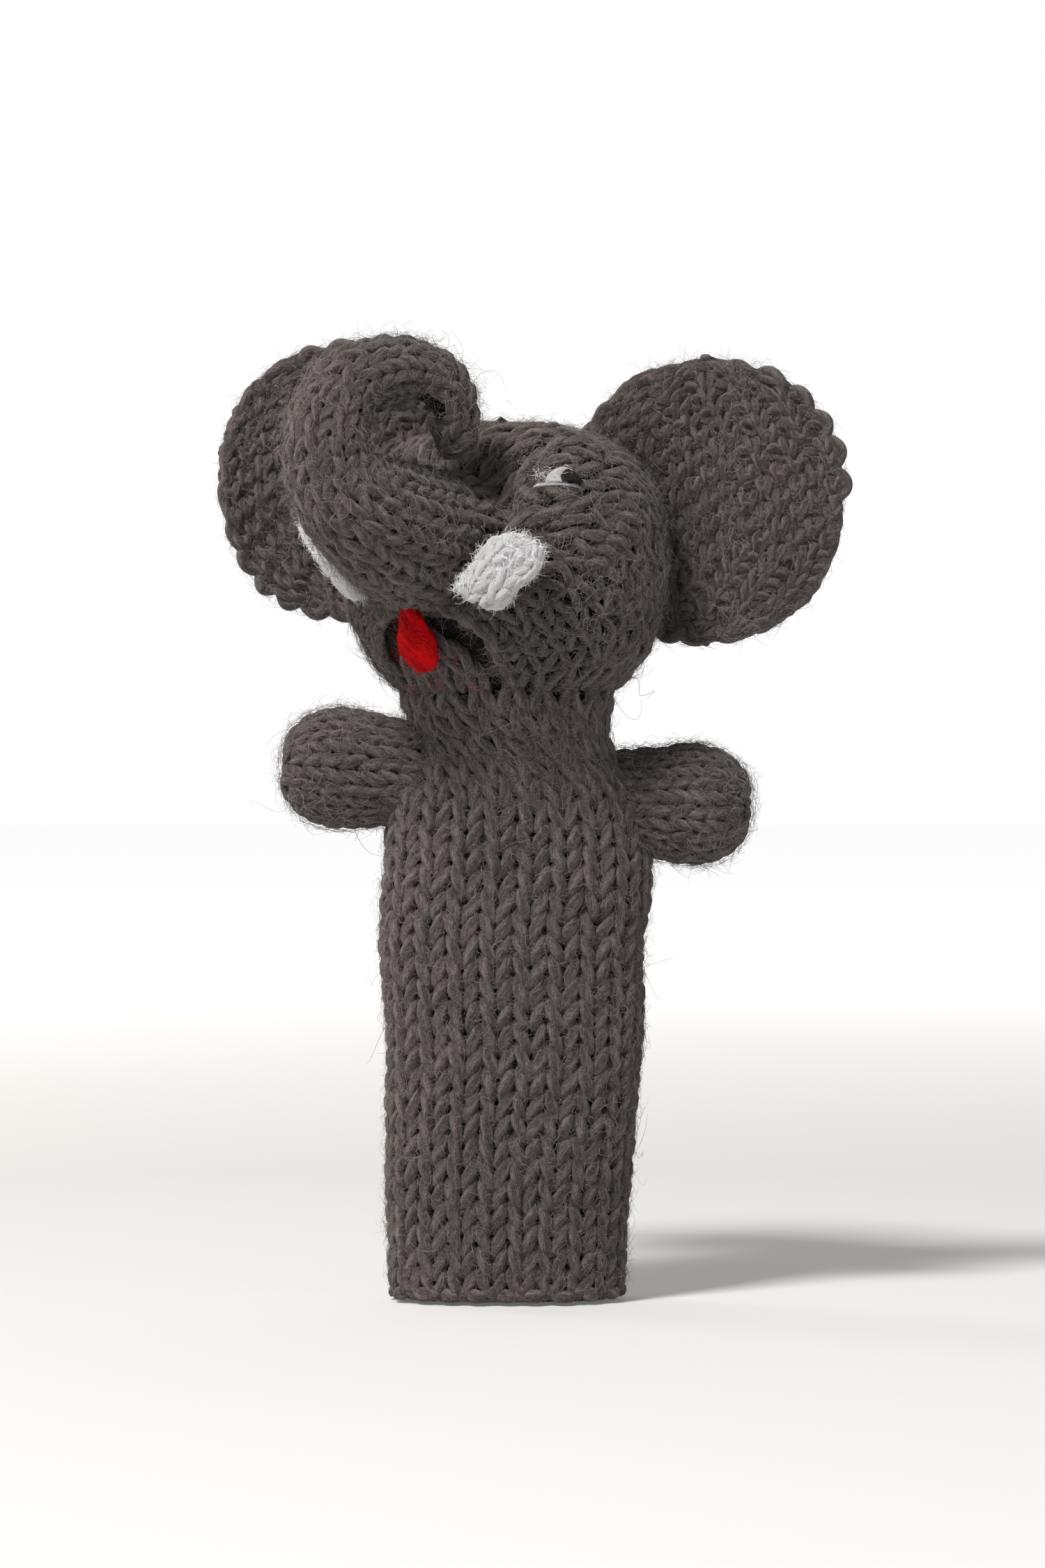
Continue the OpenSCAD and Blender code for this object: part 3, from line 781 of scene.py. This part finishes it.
fabric("sleeve_knit_low", sleeve, sleeve_wales, 0, 8, 11, body="sleeve", nodes=["sleeve_tube"])
fabric("sleeve_knit_middle", sleeve, sleeve_wales, 8, 16, 12, body="sleeve")
fabric("sleeve_knit_top", sleeve, sleeve_wales, 16, 23, 13, body="sleeve")
fabric("neck_knit_low", sleeve, sleeve_wales, 23, 24, 14, bend=("sleeve", "neck_thread", *on_axis(62, 65.5)))
fabric("neck_knit_middle", sleeve, sleeve_wales, 24, 25, 15, nodes=["neck_stuffing"],
       bend=("neck_thread", "neck", *on_axis(65.5, 68)))
fabric("neck_knit_top", sleeve, sleeve_wales, 25, 27, 16, bend=("neck", "head", *on_axis(67, 73.4)))


def edge_chain():
    """The cast-on edge: two strands round the mouth that swell at each wale."""
    batch = Batch()
    u = np.arange(600) / 600
    for phase, low, out in ((0.0, 0.03, -0.5), (math.pi, 0.22, -1.1)):
        wave = np.cos(2 * math.pi * SLEEVE_WALES * u + phase)
        p, n, _, _ = sleeve.frame(u, low - 0.05 * wave)
        path = p + n * (out + 0.4 * wave)[:, None]
        path = path + 0.15 * wobble(path, 5, 3)
        tube(batch, path, n, 0.68 + 0.24 * wave, 10, True, depth=0.2 * wave - 0.2)
    p, n = scatter(sleeve, -0.3, 0.4, 2.0, np.random.default_rng(5))
    grow(batch, p, n, 6, slot=1)
    place(batch, "cast_on_knots", [WOOL, FIBRE], "body_wool", body="sleeve", nodes=["cast_on_edge"])


edge_chain()


def seam_stitches():
    """The sewn edge on the +X side: one oversewn stitch to each course."""
    batch = Batch()
    v = np.linspace(0.2, 18.2, 420)
    phase = 2 * math.pi * v
    u = 0.25 + 0.013 * np.sin(phase)
    p, n, _, _ = sleeve.frame(u, v)
    path = p + n * (-0.75 + 0.3 * np.cos(phase))[:, None]
    tube(batch, path + 0.1 * wobble(path, 6, 8), n, 0.5, 8, depth=np.zeros(len(path)))
    place(batch, "side_seam_stitches", [WOOL], "body_wool", body="sleeve", nodes=["side_seam"])


seam_stitches()


def gather_thread():
    """Two twisted strands round the neck."""
    batch = Batch()
    a = np.linspace(0, 2 * math.pi, 200, endpoint=False)
    ring = NECK + GATHER_RADIUS * np.stack([np.cos(a), np.sin(a), 0 * a], -1)
    for phase in (0, math.pi):
        twist = 24 * a + phase
        path = ring + 0.18 * (np.cos(twist)[:, None] * unit(ring - NECK) + np.sin(twist)[:, None] * UP)
        tube(batch, path, np.broadcast_to(UP, path.shape), 0.24, 6, True)
    place(batch, "gather_thread", [BLACK_YARN], "sewing_thread", body="neck_thread",
          nodes=["neck_gather_thread"])


gather_thread()

# ---- the pieces of the head ----------------------------------------------------------------
def mouth_dent(u, v):
    """The web of the head steps back behind the mouth."""
    b = row_share(u, v) * FAN_END
    turn = 2 * math.pi * np.abs((u + 0.5) % 1 - 0.5)
    return -1.25 - 1.8 * smooth(mouth_turn(b) - turn, -0.25, 0.0) * smooth(MOUTH_PEAK - b, -0.05, 0.05)


def above_mouth(j):
    return j > HEAD_TOP - 1.2


HEAD_KNIT = dict(web_skin=whole_head, web_top=mouth_dent, web_rows=4)
fabric("head_knit_low", head, head_wales, 0, 7, 21, body="head", closed=above_mouth, fill=0.9,
       nodes=["head_shell", "head_stuffing"], **HEAD_KNIT)
fabric("head_knit_high", head, head_wales, 7, 13, 22, body="head", closed=above_mouth, fill=0.9, **HEAD_KNIT)


def bend_at(t, a, b, before=4.0, after=4.0):
    """Where fabric bends across a trunk joint: along the trunk's line at angle t."""
    p, along = trunk_line(t), trunk_along(np.array(float(t)))
    return (a, b, p - before * along, p + after * along)


TRUNK_KNIT = dict(fuzz=FUZZ * 0.9, length=(1.2, 4.6), stand=(0.0, 0.9), web_rows=5, web_columns=60)
fabric("face_knit", head, head_wales, 13, 19, 23, closed=above_mouth, fill=0.9, web_skin=whole_head,
       web_top=mouth_dent, bend=bend_at(0.0, "head", "trunk_base", 4, 3))
fabric("trunk_base_knit", head, head_wales, 19, 22, 24, body="trunk_base", fill=0.9,
       nodes=["trunk_base", "trunk_base_stuffing"], **TRUNK_KNIT)
fabric("trunk_lower_bend_knit", head, head_wales, 22, 27, 25, fill=0.9,
       bend=bend_at(80.0, "trunk_base", "trunk_middle"), **TRUNK_KNIT)
fabric("trunk_middle_knit", head, head_wales, 27, 31, 26, body="trunk_middle", fill=0.9,
       nodes=["trunk_middle", "trunk_middle_stuffing"], **TRUNK_KNIT)
fabric("trunk_upper_bend_knit", head, head_wales, 31, 36, 27, fill=0.9,
       bend=bend_at(175.0, "trunk_middle", "trunk_tip"), **TRUNK_KNIT)
fabric("trunk_tip_knit", head, head_wales, 36, 43, 28, body="trunk_tip", fill=0.9,
       nodes=["trunk_tip", "trunk_tip_stuffing"], web_past=-0.15, **TRUNK_KNIT)


# ---- points on the face --------------------------------------------------------------------
def on_face(across, z):
    """The front of the head's form, at a distance across the face and a height."""
    share = head_share(z - HEAD[2], HEAD_HALF[2])
    forward = HEAD_HALF[1] * np.sqrt(np.maximum(share ** 2 - (across / HEAD_HALF[0]) ** 2, 0.01))
    return HEAD * [1, 1, 0] + across[..., None] * ACROSS + forward[..., None] * FORWARD + z[..., None] * UP


def face_point(across, z, above=0.0):
    p, n, _, _ = Skin(on_face).frame(np.asarray(across, float), np.asarray(z, float))
    return p + n * np.asarray(above, float)[..., None], n


def onto_head(q, direction):
    """Moves points along a direction to the head's form; gives them and the normals there."""
    low, high = np.full(q.shape[:-1], -7.0), np.full(q.shape[:-1], 7.0)
    for _ in range(26):
        half = (low + high) / 2
        inside = head_outside(q + half[..., None] * direction) < 1
        low, high = np.where(inside, half, low), np.where(inside, high, half)
    p = q + low[..., None] * direction
    steps = np.eye(3) * 1e-3
    return p, unit(np.stack([head_outside(p + s) - head_outside(p - s) for s in steps], -1))


# ---- mouth and tongue ----------------------------------------------------------------------
def jaw_half_width(z):
    return 6.2 * np.sqrt(np.maximum(1 - np.clip((z - 73.6) / 6.6, 0, 0.99) ** 2, 0.02))


def jaw_at(u, v):
    z = 73.4 + 2.5 * np.asarray(v, float)
    return on_face((2 * np.asarray(u, float) - 1) * jaw_half_width(z), z)


def jaw_and_mouth():
    jaw = Skin(jaw_at)
    batch = Batch()
    for row, count in ((0.3, 4), (1.2, 3), (2.0, 2)):
        knit(batch, jaw, even_wales(count), [row], 31, closed=False)
    lining(batch, jaw, -0.2, 2.3, 16, 30, closed=False, top=-1.0, u_range=(0.04, 0.96))
    rng = np.random.default_rng(32)
    p, n = scatter(jaw, 0, 2.2, FUZZ, rng)
    grow(batch, p, n, 33)
    grow(batch, p[:26], n[:26], 34, slot=3, length=(1.5, 4.0))
    place(batch, "jaw_knit", [*GREY, RED_FIBRE], "body_wool", body="head", nodes=["lower_jaw"])

    arch = Skin(lambda u, v: fan_ring((2 * u - 1) * (mouth_turn(v) + 0.16), v))
    batch = Batch()
    lining(batch, arch, math.radians(2), math.radians(74), 60, 50, closed=False, top=-1.55, thick=0.5, slot=0)
    p, n = scatter(arch, math.radians(4), math.radians(73), 3.0, np.random.default_rng(35))
    grow(batch, p - 1.5 * n, n, 36, slot=1, length=(0.8, 2.0), stand=(0.0, 0.5))
    place(batch, "mouth_felt", [BLACK_FELT, BLACK_FIBRE], "black_felt", body="head", nodes=["mouth_lining"])


jaw_and_mouth()


def mouth_edge():
    """The edge of the fabric round the mouth's arch, from one corner over the top to the other."""
    batch = Batch()
    samples = 260
    s = np.linspace(-1, 1, samples)
    b = math.radians(1.5) + (MOUTH_PEAK - math.radians(1.7)) * (1 - np.abs(s) ** 1.6)
    turn = (mouth_turn(b) + 0.02) * np.sign(s)
    p, n, _, _ = Skin(fan_ring).frame(turn, b)
    share = np.linspace(0, 1, samples)
    length = np.concatenate([[0], np.cumsum(np.linalg.norm(np.diff(p, axis=0), axis=1))])
    even = [np.interp(share * length[-1], length, c) for c in (*p.T, *n.T)]
    p, n = np.stack(even[:3], -1), unit(np.stack(even[3:], -1))
    beads = 0.5 + 0.5 * np.cos(2 * math.pi * np.linspace(0, length[-1] / 2.3, samples))
    ends = np.clip(8 * (0.5 - np.abs(share - 0.5)), 0, 1)
    line = p + n * (-0.75 + 0.25 * beads)[:, None] - n * (1.2 * (1 - ends))[:, None]
    tube(batch, line + 0.1 * wobble(line, 3, 37), n, (0.72 + 0.14 * beads) * (0.5 + 0.5 * ends), 10,
         depth=np.full(samples, -0.2))
    pick = np.random.default_rng(38).integers(8, samples - 8, 420)
    grow(batch, line[pick] + 0.6 * n[pick], n[pick], 39, slot=1)
    place(batch, "mouth_edge_yarn", [WOOL, FIBRE], "body_wool", body="head")


mouth_edge()


def tongue():
    """A flat felt tongue, narrow where it leaves the mouth and round at its end."""
    rows, columns = 70, 44
    around = np.arange(columns)
    s, a = np.meshgrid(np.linspace(0.0, 1.0, rows), around * 2 * math.pi / columns, indexing="ij")
    line, n = face_point(mix(-0.6, 1.0, s), mix(84.6, 76.9, s), mix(0.1, 1.7, s) + 0.5 * np.sin(math.pi * s))
    widen = 2.85 * mix(0.3, 1.0, smooth(s, -0.15, 0.75))
    half_width = widen * np.maximum(1 - np.abs(2 * s - 1) ** 3.2, 0.0) ** 0.5
    half_depth = 0.95 * np.maximum(1 - np.abs(2 * s - 1) ** 5, 0.0) ** 0.5
    side = unit(np.cross(n, np.gradient(line, axis=0)))
    points = line + (half_width * np.cos(a))[..., None] * side
    points = points + (half_depth * bulge(np.sin(a), 0.9))[..., None] * n
    points = points + 0.1 * wobble(points, 2.4, 41) + 0.05 * wobble(points, 0.9, 42)
    yarn = np.stack([s * 8, a, 0.6 + 0 * s], -1)
    ends = [around[None, ::-1], ((rows - 1) * columns + around)[None]]
    batch = Batch()
    batch.add(points, [grid_faces(rows, columns, False, True)[:, ::-1], *ends], yarn, 0.6)
    rng = np.random.default_rng(43)
    pick = rng.integers(4, rows - 4, 900), rng.integers(0, columns, 900)
    outward = unit(points[pick] - line[pick])
    grow(batch, points[pick], outward, 44, length=(0.5, 1.7), stand=(0.0, 0.6), slot=1, radius=0.016)
    place(batch, "tongue_felt", [RED_FELT, RED_FIBRE], "red_felt", body="tongue", nodes=["tongue"])


tongue()


# ---- eyes ----------------------------------------------------------------------------------
EYE_SIZE = 0.76         # scales the stitches below
PUPIL_STITCHES = ((-0.62, 1.1, 4.3), (-0.25, 0.6, 4.5), (0.12, 0.7, 4.0), (0.5, 1.1, 3.6), (0.82, 1.6, 2.7))


def eye(side, name, number):
    """Satin stitches: white ones along the eye, and a short black pile of them for the pupil."""
    p0, n0 = face_point(side * 15.0, 98.9)
    a = unit(np.cross(UP, n0)) * side
    b = np.cross(n0, a) * side
    rng = np.random.default_rng(50 + number)

    def strand(batch, x_low, x_high, y, rise, radius, bow):
        t = np.linspace(0, 1, 26)
        x, arch = mix(x_low, x_high, t), np.sin(math.pi * t)
        q = p0 + EYE_SIZE * (x[:, None] * a + (y + bow * arch)[:, None] * b)
        q, n = onto_head(q, n0)
        q = q + n * (-0.5 + (rise + 0.5) * arch ** 0.45)[:, None] + 0.04 * wobble(q, 1.6, int(100 * (y + 9)))
        tube(batch, q, n, EYE_SIZE * radius * (0.75 + 0.35 * arch ** 0.5), 10, flat=0.8,
             depth=np.full(len(t), 0.4), tint=rng.uniform(0.3, 0.9))

    white = Batch()
    strand(white, -3.5, 4.4, -1.35, -0.05, 0.17, 0.1)
    strand(white, -3.1, 4.0, -1.1, 0.0, 0.17, -0.1)
    for y in np.linspace(-0.75, 1.45, 8):
        half = 2.0 * math.sqrt(max(0.05, 1 - ((y - 0.2) / 1.6) ** 2))
        strand(white, 0.7 - half + 0.5 * y, 2.2 + 0.7 * y, y, 0.05, 0.25, 0.15)
    at = p0 + EYE_SIZE * (rng.uniform(-3.2, 1.6, (70, 1)) * a + rng.normal(-0.2, 0.8, (70, 1)) * b)
    at, n = onto_head(at, n0)
    grow(white, at, n, 51 + number, length=(0.6, 1.8), root=0.5, stand=(0.0, 0.4), slot=1, radius=0.014)
    place(white, name + "_eye_stitches", [WHITE_YARN, WHITE_FIBRE], "eye_white_yarn", body="head",
          nodes=[name + "_eye_white"])
    black = Batch()
    for y, low, high in PUPIL_STITCHES:
        strand(black, low, high, y, 0.5, 0.31, 0.05)
    place(black, name + "_pupil_stitches", [BLACK_YARN], "eye_black_yarn", body="head",
          nodes=[name + "_pupil"])


eye(1, "right", 1)
eye(-1, "left", 2)


# ---- tusks ---------------------------------------------------------------------------------
BACK = np.array([0.1, 1.0, 0.0])
TUSK_SLANT = 0.3        # how much the ends of a tusk are cut on the slant
TUSK_ROWS = 6


def tusk(side, name, number):
    """A flat knitted tab that stands on the cheek."""
    root, _ = face_point(side * 8.6, 84.4, 1.9)
    tip, _ = face_point(side * 14.0, 91.2, 2.6)
    along = unit(tip - root)
    across = unit(np.cross(along, root - HEAD)) * side
    if side < 0:        # the left one stands out from the cheek, and is seen edge on
        root, tip = point(-18.3, -8.0, 85.4), point(-25.2, -8.5, 94.6)
        along = unit(tip - root)
        across = unit(BACK - (BACK @ along) * along)
    out = np.cross(across, along) * side

    def at(u, v):
        u, v = np.broadcast_arrays(np.asarray(u, float), np.asarray(v, float))
        s = np.clip(2 * v / TUSK_ROWS - 1, -0.985, 0.985)
        round_end = (1 - np.abs(s) ** 6) ** (1 / 2.8)
        t = 2 * math.pi * u
        bow = 0.5 * (1 - s ** 2)
        width = (3.0 - 0.25 * s + 0.2 * np.sin(5 * s)) * round_end
        p = mix(root, tip, (s[..., None] + 1) / 2) + bow[..., None] * out
        p = p + (TUSK_SLANT * width * bulge(np.sin(t), 0.9))[..., None] * along
        return (p + (width * bulge(np.sin(t), 0.9))[..., None] * across
                + (1.15 * round_end * bulge(np.cos(t), 0.9))[..., None] * out)

    tab = Skin(at, flip=float(side))
    batch = Batch()
    low, high = 0.05, TUSK_ROWS - 0.05
    knit(batch, tab, even_wales(8), np.arange(TUSK_ROWS) + 0.5, 60 + number, radius=0.56, wale=1.9,
         course=2.0, lift=-0.5, unevenness=0.2)
    lining(batch, tab, low, high, 30, 48, top=-0.12)
    p, n = scatter(tab, low, high, 16.0, np.random.default_rng(62 + number))
    grow(batch, p, n, 63 + number, length=(0.7, 2.4), stand=(0.0, 0.5), slot=2, radius=0.028, root=0.1)
    place(batch, name + "_tusk_knit", [WHITE_YARN, WHITE_YARN, WHITE_FIBRE], "tusk_yarn", body=name + "_tusk",
          nodes=[name + "_tusk"])


tusk(1, "right", 1)
tusk(-1, "left", 2)


# ---- arms ----------------------------------------------------------------------------------
ARM_ROWS = 8
ARM_WALES = 14
ARM_HALF_DEPTH, ARM_HALF_HEIGHT = 5.4, 7.7


def arm(side, name, lift, tilt, reach, number):
    """A stuffed stub arm: its sewn root, the bend, and the rest to its round end."""
    pin = pivot(name + "_arm_raise")
    a = math.radians(tilt)
    along = np.array([side * math.cos(a), 0, math.sin(a)])
    up = np.array([-side * math.sin(a), 0, math.cos(a)])
    front = np.array([0.0, -1.0, 0.0])
    start, widest = -2.6, 4.6

    def profile(x):
        tip = np.clip((x - widest) / (reach - widest), 0, 1)
        return mix(0.88, 1.0, smooth(x, start, widest)) * (1 - tip ** 2.3) ** (1 / 2.3)

    round_end = reach - 1 + np.sin(np.linspace(0, math.pi / 2, 200)[1:])
    x = np.concatenate([np.linspace(start, reach - 1, 300), round_end])
    r = profile(x)
    s = np.concatenate([[0], np.cumsum(np.hypot(np.diff(x), 6.4 * np.diff(r)))])
    s = s / s[-1] * ARM_ROWS

    def at(u, v):
        u, v = np.broadcast_arrays(np.asarray(u, float), np.asarray(v, float))
        xs, rs = np.interp(v, s, x) + np.minimum(v, 0) * 2, np.maximum(np.interp(v, s, r), 0.02)
        t = 2 * math.pi * u
        y, z = ARM_HALF_DEPTH * rs * bulge(np.cos(t), 0.95), ARM_HALF_HEIGHT * rs * bulge(np.sin(t), 0.95)
        return (pin + xs[..., None] * along + y[..., None] * front + z[..., None] * up * side + lift * UP)

    skin = Skin(at, flip=-1.0)
    wales = shaped_wales([(-50, 6.2 if k % 2 else 200) for k in range(ARM_WALES)])
    seam, arm_body = name + "_arm_seam", name + "_arm"

    def stretch(piece, low, high, seed, **where):
        fabric(name + piece, skin, wales, low, high, seed + number, slot="arm_wool", web_columns=50, **where)

    stretch("_arm_seam_knit", -1, 1, 70, nodes=[name + "_arm_stitch"],
            bend=("sleeve", seam, pin - 2.2 * along, pin - 0.6 * along))
    stretch("_arm_root_knit", 1, 2, 72, fill=0.9, bend=(seam, arm_body, pin - 0.6 * along, pin + 1.6 * along))
    stretch("_arm_knit", 2, ARM_ROWS, 74, fill=0.9, web_past=-0.1, body=arm_body,
            nodes=[arm_body, arm_body + "_stuffing"])


arm(-1, "left", 0.5, 4, 12.6, 0)
arm(1, "right", -0.8, -2, 12.4, 1)


# ---- ears ----------------------------------------------------------------------------------
EAR_RADIUS = 16.8
EAR_WALE = 2.1
EAR_COURSE = 1.6
ROOT_TUCK = 4.5         # how far the ear's fabric goes on past the root line, where the head hides it
EAR_BEND = 4.0          # how far out from the hinge the ear's fabric bends


def ear(side, name, centre, yaw, lean, wide, root_angle, root_reach, number):
    """A disc of moss stitch in an upright plane, cut off by a root line, with a knobbly edge."""
    y, l, r = math.radians(yaw), math.radians(lean), math.radians(root_angle)
    turn = np.array([[math.cos(y), -math.sin(y), 0], [math.sin(y), math.cos(y), 0], [0, 0, 1]])
    ex, ey = turn @ [1, 0, 0], turn @ [0, -math.sin(l), math.cos(l)]
    ez = turn @ [0, -math.cos(l), -math.sin(l)]
    away = np.array([math.cos(r), math.sin(r)]) * side      # in the ear's plane, out from the root line
    root = away[0] * ex + away[1] * ey

    def limits(h):
        inside = np.maximum(1 - np.minimum(np.abs(h) / EAR_RADIUS, 1) ** 2.17, 1e-4)
        chord = wide * EAR_RADIUS * inside ** 0.46
        cut = (-root_reach - ROOT_TUCK - h * away[1]) / away[0]
        return (np.maximum(-chord, cut), chord) if side > 0 else (-chord, np.minimum(chord, cut))

    def in_plane(x, h):
        swell = (x ** 2 + h ** 2) / EAR_RADIUS ** 2
        warp = 0.55 * np.sin(0.21 * x + 0.9 + number) * swell + 0.5 * np.cos(0.19 * h - 0.4) * swell
        return centre + x[..., None] * ex + h[..., None] * ey + warp[..., None] * ez

    def at(u, v):
        h = -EAR_RADIUS + EAR_COURSE * np.asarray(v, float)
        low, high = limits(h)
        return in_plane(mix(low, high, u), h)

    def from_root(p):
        return (p - centre) @ root + root_reach

    skin = Skin(at, flip=1.0)
    if (skin.frame(np.array(0.5), np.array(9.0))[1] @ ez) < 0:
        skin.flip = -1.0
    rows = int(2 * EAR_RADIUS / EAR_COURSE)
    ear_body = name + "_ear"
    hinge = pivot(name + "_ear_flap")
    hinge_axis = unit(np.array(joint(name + "_ear_flap")["axis"]))
    out = unit(root - (root @ hinge_axis) * hinge_axis)
    bend = ("head", ear_body, hinge - 0.5 * out, hinge + EAR_BEND * out)

    def off_head(p):
        return head_outside(p, -1.0) > 1

    def beyond(p):
        return (p - hinge) @ out

    def moss(j, k):
        return 1.0 if (int(j) + int(k)) % 2 else -1.0

    def in_far_part(p):
        return off_head(p) & (beyond(p) > EAR_BEND)

    def in_root_part(p):
        return off_head(p) & (beyond(p) <= EAR_BEND + EAR_WALE)

    parts = ((ear_body + "_knit", in_far_part, dict(body=ear_body, nodes=[ear_body])),
             (ear_body + "_root_knit", in_root_part, dict(bend=bend, nodes=[name + "_ear_seam"])))
    for piece, keep, where in parts:
        batch = Batch()
        for j in np.arange(rows) + 0.5:
            low, high = limits(-EAR_RADIUS + EAR_COURSE * j)
            count = max(2, round(float(high - low) / EAR_WALE))
            knit(batch, skin, even_wales(count), [j], 80 + number, closed=False, sign=moss, keep=keep,
                 radius=0.53, wale=EAR_WALE, course=EAR_COURSE, lift=0.0, unevenness=0.16)
        for face in (1, -1):
            p, n = scatter(skin, 0.3, rows, FUZZ, np.random.default_rng(90 + number + face), keep=keep)
            grow(batch, p, n * face, 92 + number + face, root=0.75, length=(1.0, 3.4))
        place(batch, piece, [EAR_WOOL_SHADED, WEB_PAINTED_DARK, FIBRE], "ear_wool", **where)

    web = Batch()
    lining(web, skin, 0.15, rows - 0.1, 60, 40, closed=False, top=0.18, thick=0.36, slot=0, depth=-0.6)
    sheet = place(web, ear_body + "_web", [EAR_WOOL_SHADED], "ear_wool", bend=bend)

    t = np.linspace(0, 2 * math.pi, 900)
    knobs = np.abs(np.sin(13 * t + 0.7 * np.sin(3 * t))) ** 0.8
    reach = 15.9 + (0.9 + 0.5 * np.sin(1.7 * t + number)) * knobs
    rim = in_plane(wide * reach * bulge(np.cos(t), 0.92), reach * bulge(np.sin(t), 0.92))
    seen = (from_root(rim) > -ROOT_TUCK) & off_head(rim)
    first = int(np.argmin(seen)) if not seen[0] else 0
    rim, seen = np.roll(rim[:-1], -first, 0), np.roll(seen[:-1], -first)
    edges = ((ear_body + "_edge_knots", beyond(rim) > EAR_BEND, dict(body=ear_body)),
             (ear_body + "_root_edge", beyond(rim) <= EAR_BEND + 0.6, dict(bend=bend)))
    for piece, here, where in edges:
        batch = Batch()
        for run in unbroken(seen & here, True):
            if len(run) < 6:
                continue
            line = rim[run % len(rim)]
            knot = 0.78 + 0.12 * np.sin(12 * 2 * math.pi * (run % len(rim)) / 450.0)
            n = np.broadcast_to(ez, line.shape)
            tube(batch, line + 0.12 * wobble(line, 4, 97), n, knot, 10, flat=1.0, depth=np.zeros(len(line)))
            pick = np.random.default_rng(98 + number).integers(0, len(line), len(line))
            grow(batch, line[pick], unit(line[pick] - centre), 99 + number, length=(1.2, 3.4), root=0.6,
                 slot=1)
        place(batch, piece, [EAR_WOOL_SHADED, FIBRE], "ear_wool", **where)


ear(-1, "left", point(-20, 14, 100.4), 8, -4, 0.99, -35, 9.0, 0)
ear(1, "right", point(23.4, -1, 97.0), -6, 3, 0.98, -3, 10.6, 1)


# ---- studio --------------------------------------------------------------------------------
def plain_white(name, matte, near, far):
    """A matte white stage surface whose own faint light grows with the distance from the object."""
    material = bpy.data.materials.new(name)
    n = Nodes(material)
    away = n.new("ShaderNodeVectorMath", operation="LENGTH")
    n.link(n.new("ShaderNodeNewGeometry").outputs["Position"], away.inputs[0])
    glow = n.new("ShaderNodeMapRange", From_Min=0.2, From_Max=1.0, To_Min=near, To_Max=far)
    n.link(away.outputs["Value"], glow.inputs["Value"])
    n.link(glow.outputs["Result"], n.bsdf.inputs["Emission Strength"])
    n.bsdf.inputs["Emission Color"].default_value = (1, 1, 1, 1)
    n.bsdf.inputs["Base Color"].default_value = (matte, matte, matte, 1)
    n.bsdf.inputs["Roughness"].default_value = 1.0
    n.bsdf.inputs["Specular IOR Level"].default_value = 0.0
    return material


def studio():
    """A pale floor, three soft lights, and a world that is white behind the object and grey before it."""
    bpy.ops.mesh.primitive_plane_add(size=12, location=(0, 1.0, -0.0004))
    floor = bpy.context.object
    floor.name = "floor"
    floor.data.materials.append(plain_white("floor_white", 0.55, 0.12, 0.8))

    def area(name, place, size, power, colour):
        data = bpy.data.lights.new(name, "AREA")
        data.energy, data.size, data.color = power, size, colour
        light = bpy.data.objects.new(name, data)
        bpy.context.scene.collection.objects.link(light)
        light.location = place
        light.rotation_mode = "QUATERNION"
        light.rotation_quaternion = (Vector((0, 0, 0.07)) - light.location).to_track_quat("-Z", "Y")

    area("key_light", (-0.45, -0.6, 1.0), 0.25, 19.5, (1.0, 0.985, 0.965))
    area("fill_light", (0.9, -0.9, 0.35), 0.6, 1.2, (0.96, 0.975, 1.0))
    area("rim_light", (-0.7, 0.5, 0.35), 0.25, 2.5, (1.0, 0.83, 0.62))
    world = bpy.data.worlds.new("studio")
    bpy.context.scene.world = world
    world.use_nodes = True
    tree = world.node_tree
    background = next(x for x in tree.nodes if x.type == "BACKGROUND")
    background.inputs[0].default_value = (1, 1, 1, 1)
    way = tree.nodes.new("ShaderNodeTexCoord")
    parts = tree.nodes.new("ShaderNodeSeparateXYZ")
    glow = tree.nodes.new("ShaderNodeMapRange")
    glow.interpolation_type = "SMOOTHSTEP"
    for socket, value in (("From Min", 0.3), ("From Max", 0.95), ("To Min", 0.2), ("To Max", 1.0)):
        glow.inputs[socket].default_value = value
    tree.links.new(way.outputs["Generated"], parts.inputs[0])
    tree.links.new(parts.outputs["Y"], glow.inputs["Value"])
    tree.links.new(glow.outputs["Result"], background.inputs[1])


studio()


def camera():
    """Level with the middle of the puppet and straight in front of it."""
    data = bpy.data.cameras.new("camera")
    data.sensor_width, data.lens = 36.0, 112.9
    data.clip_start, data.clip_end = 0.01, 20
    eye_point = bpy.data.objects.new("camera", data)
    bpy.context.scene.collection.objects.link(eye_point)
    eye_point.location = (0.00102, -0.6, 0.0625)
    eye_point.rotation_euler = (math.radians(90), 0, 0)
    bpy.context.scene.camera = eye_point


camera()
bpy.context.scene.view_settings.view_transform = "Standard"
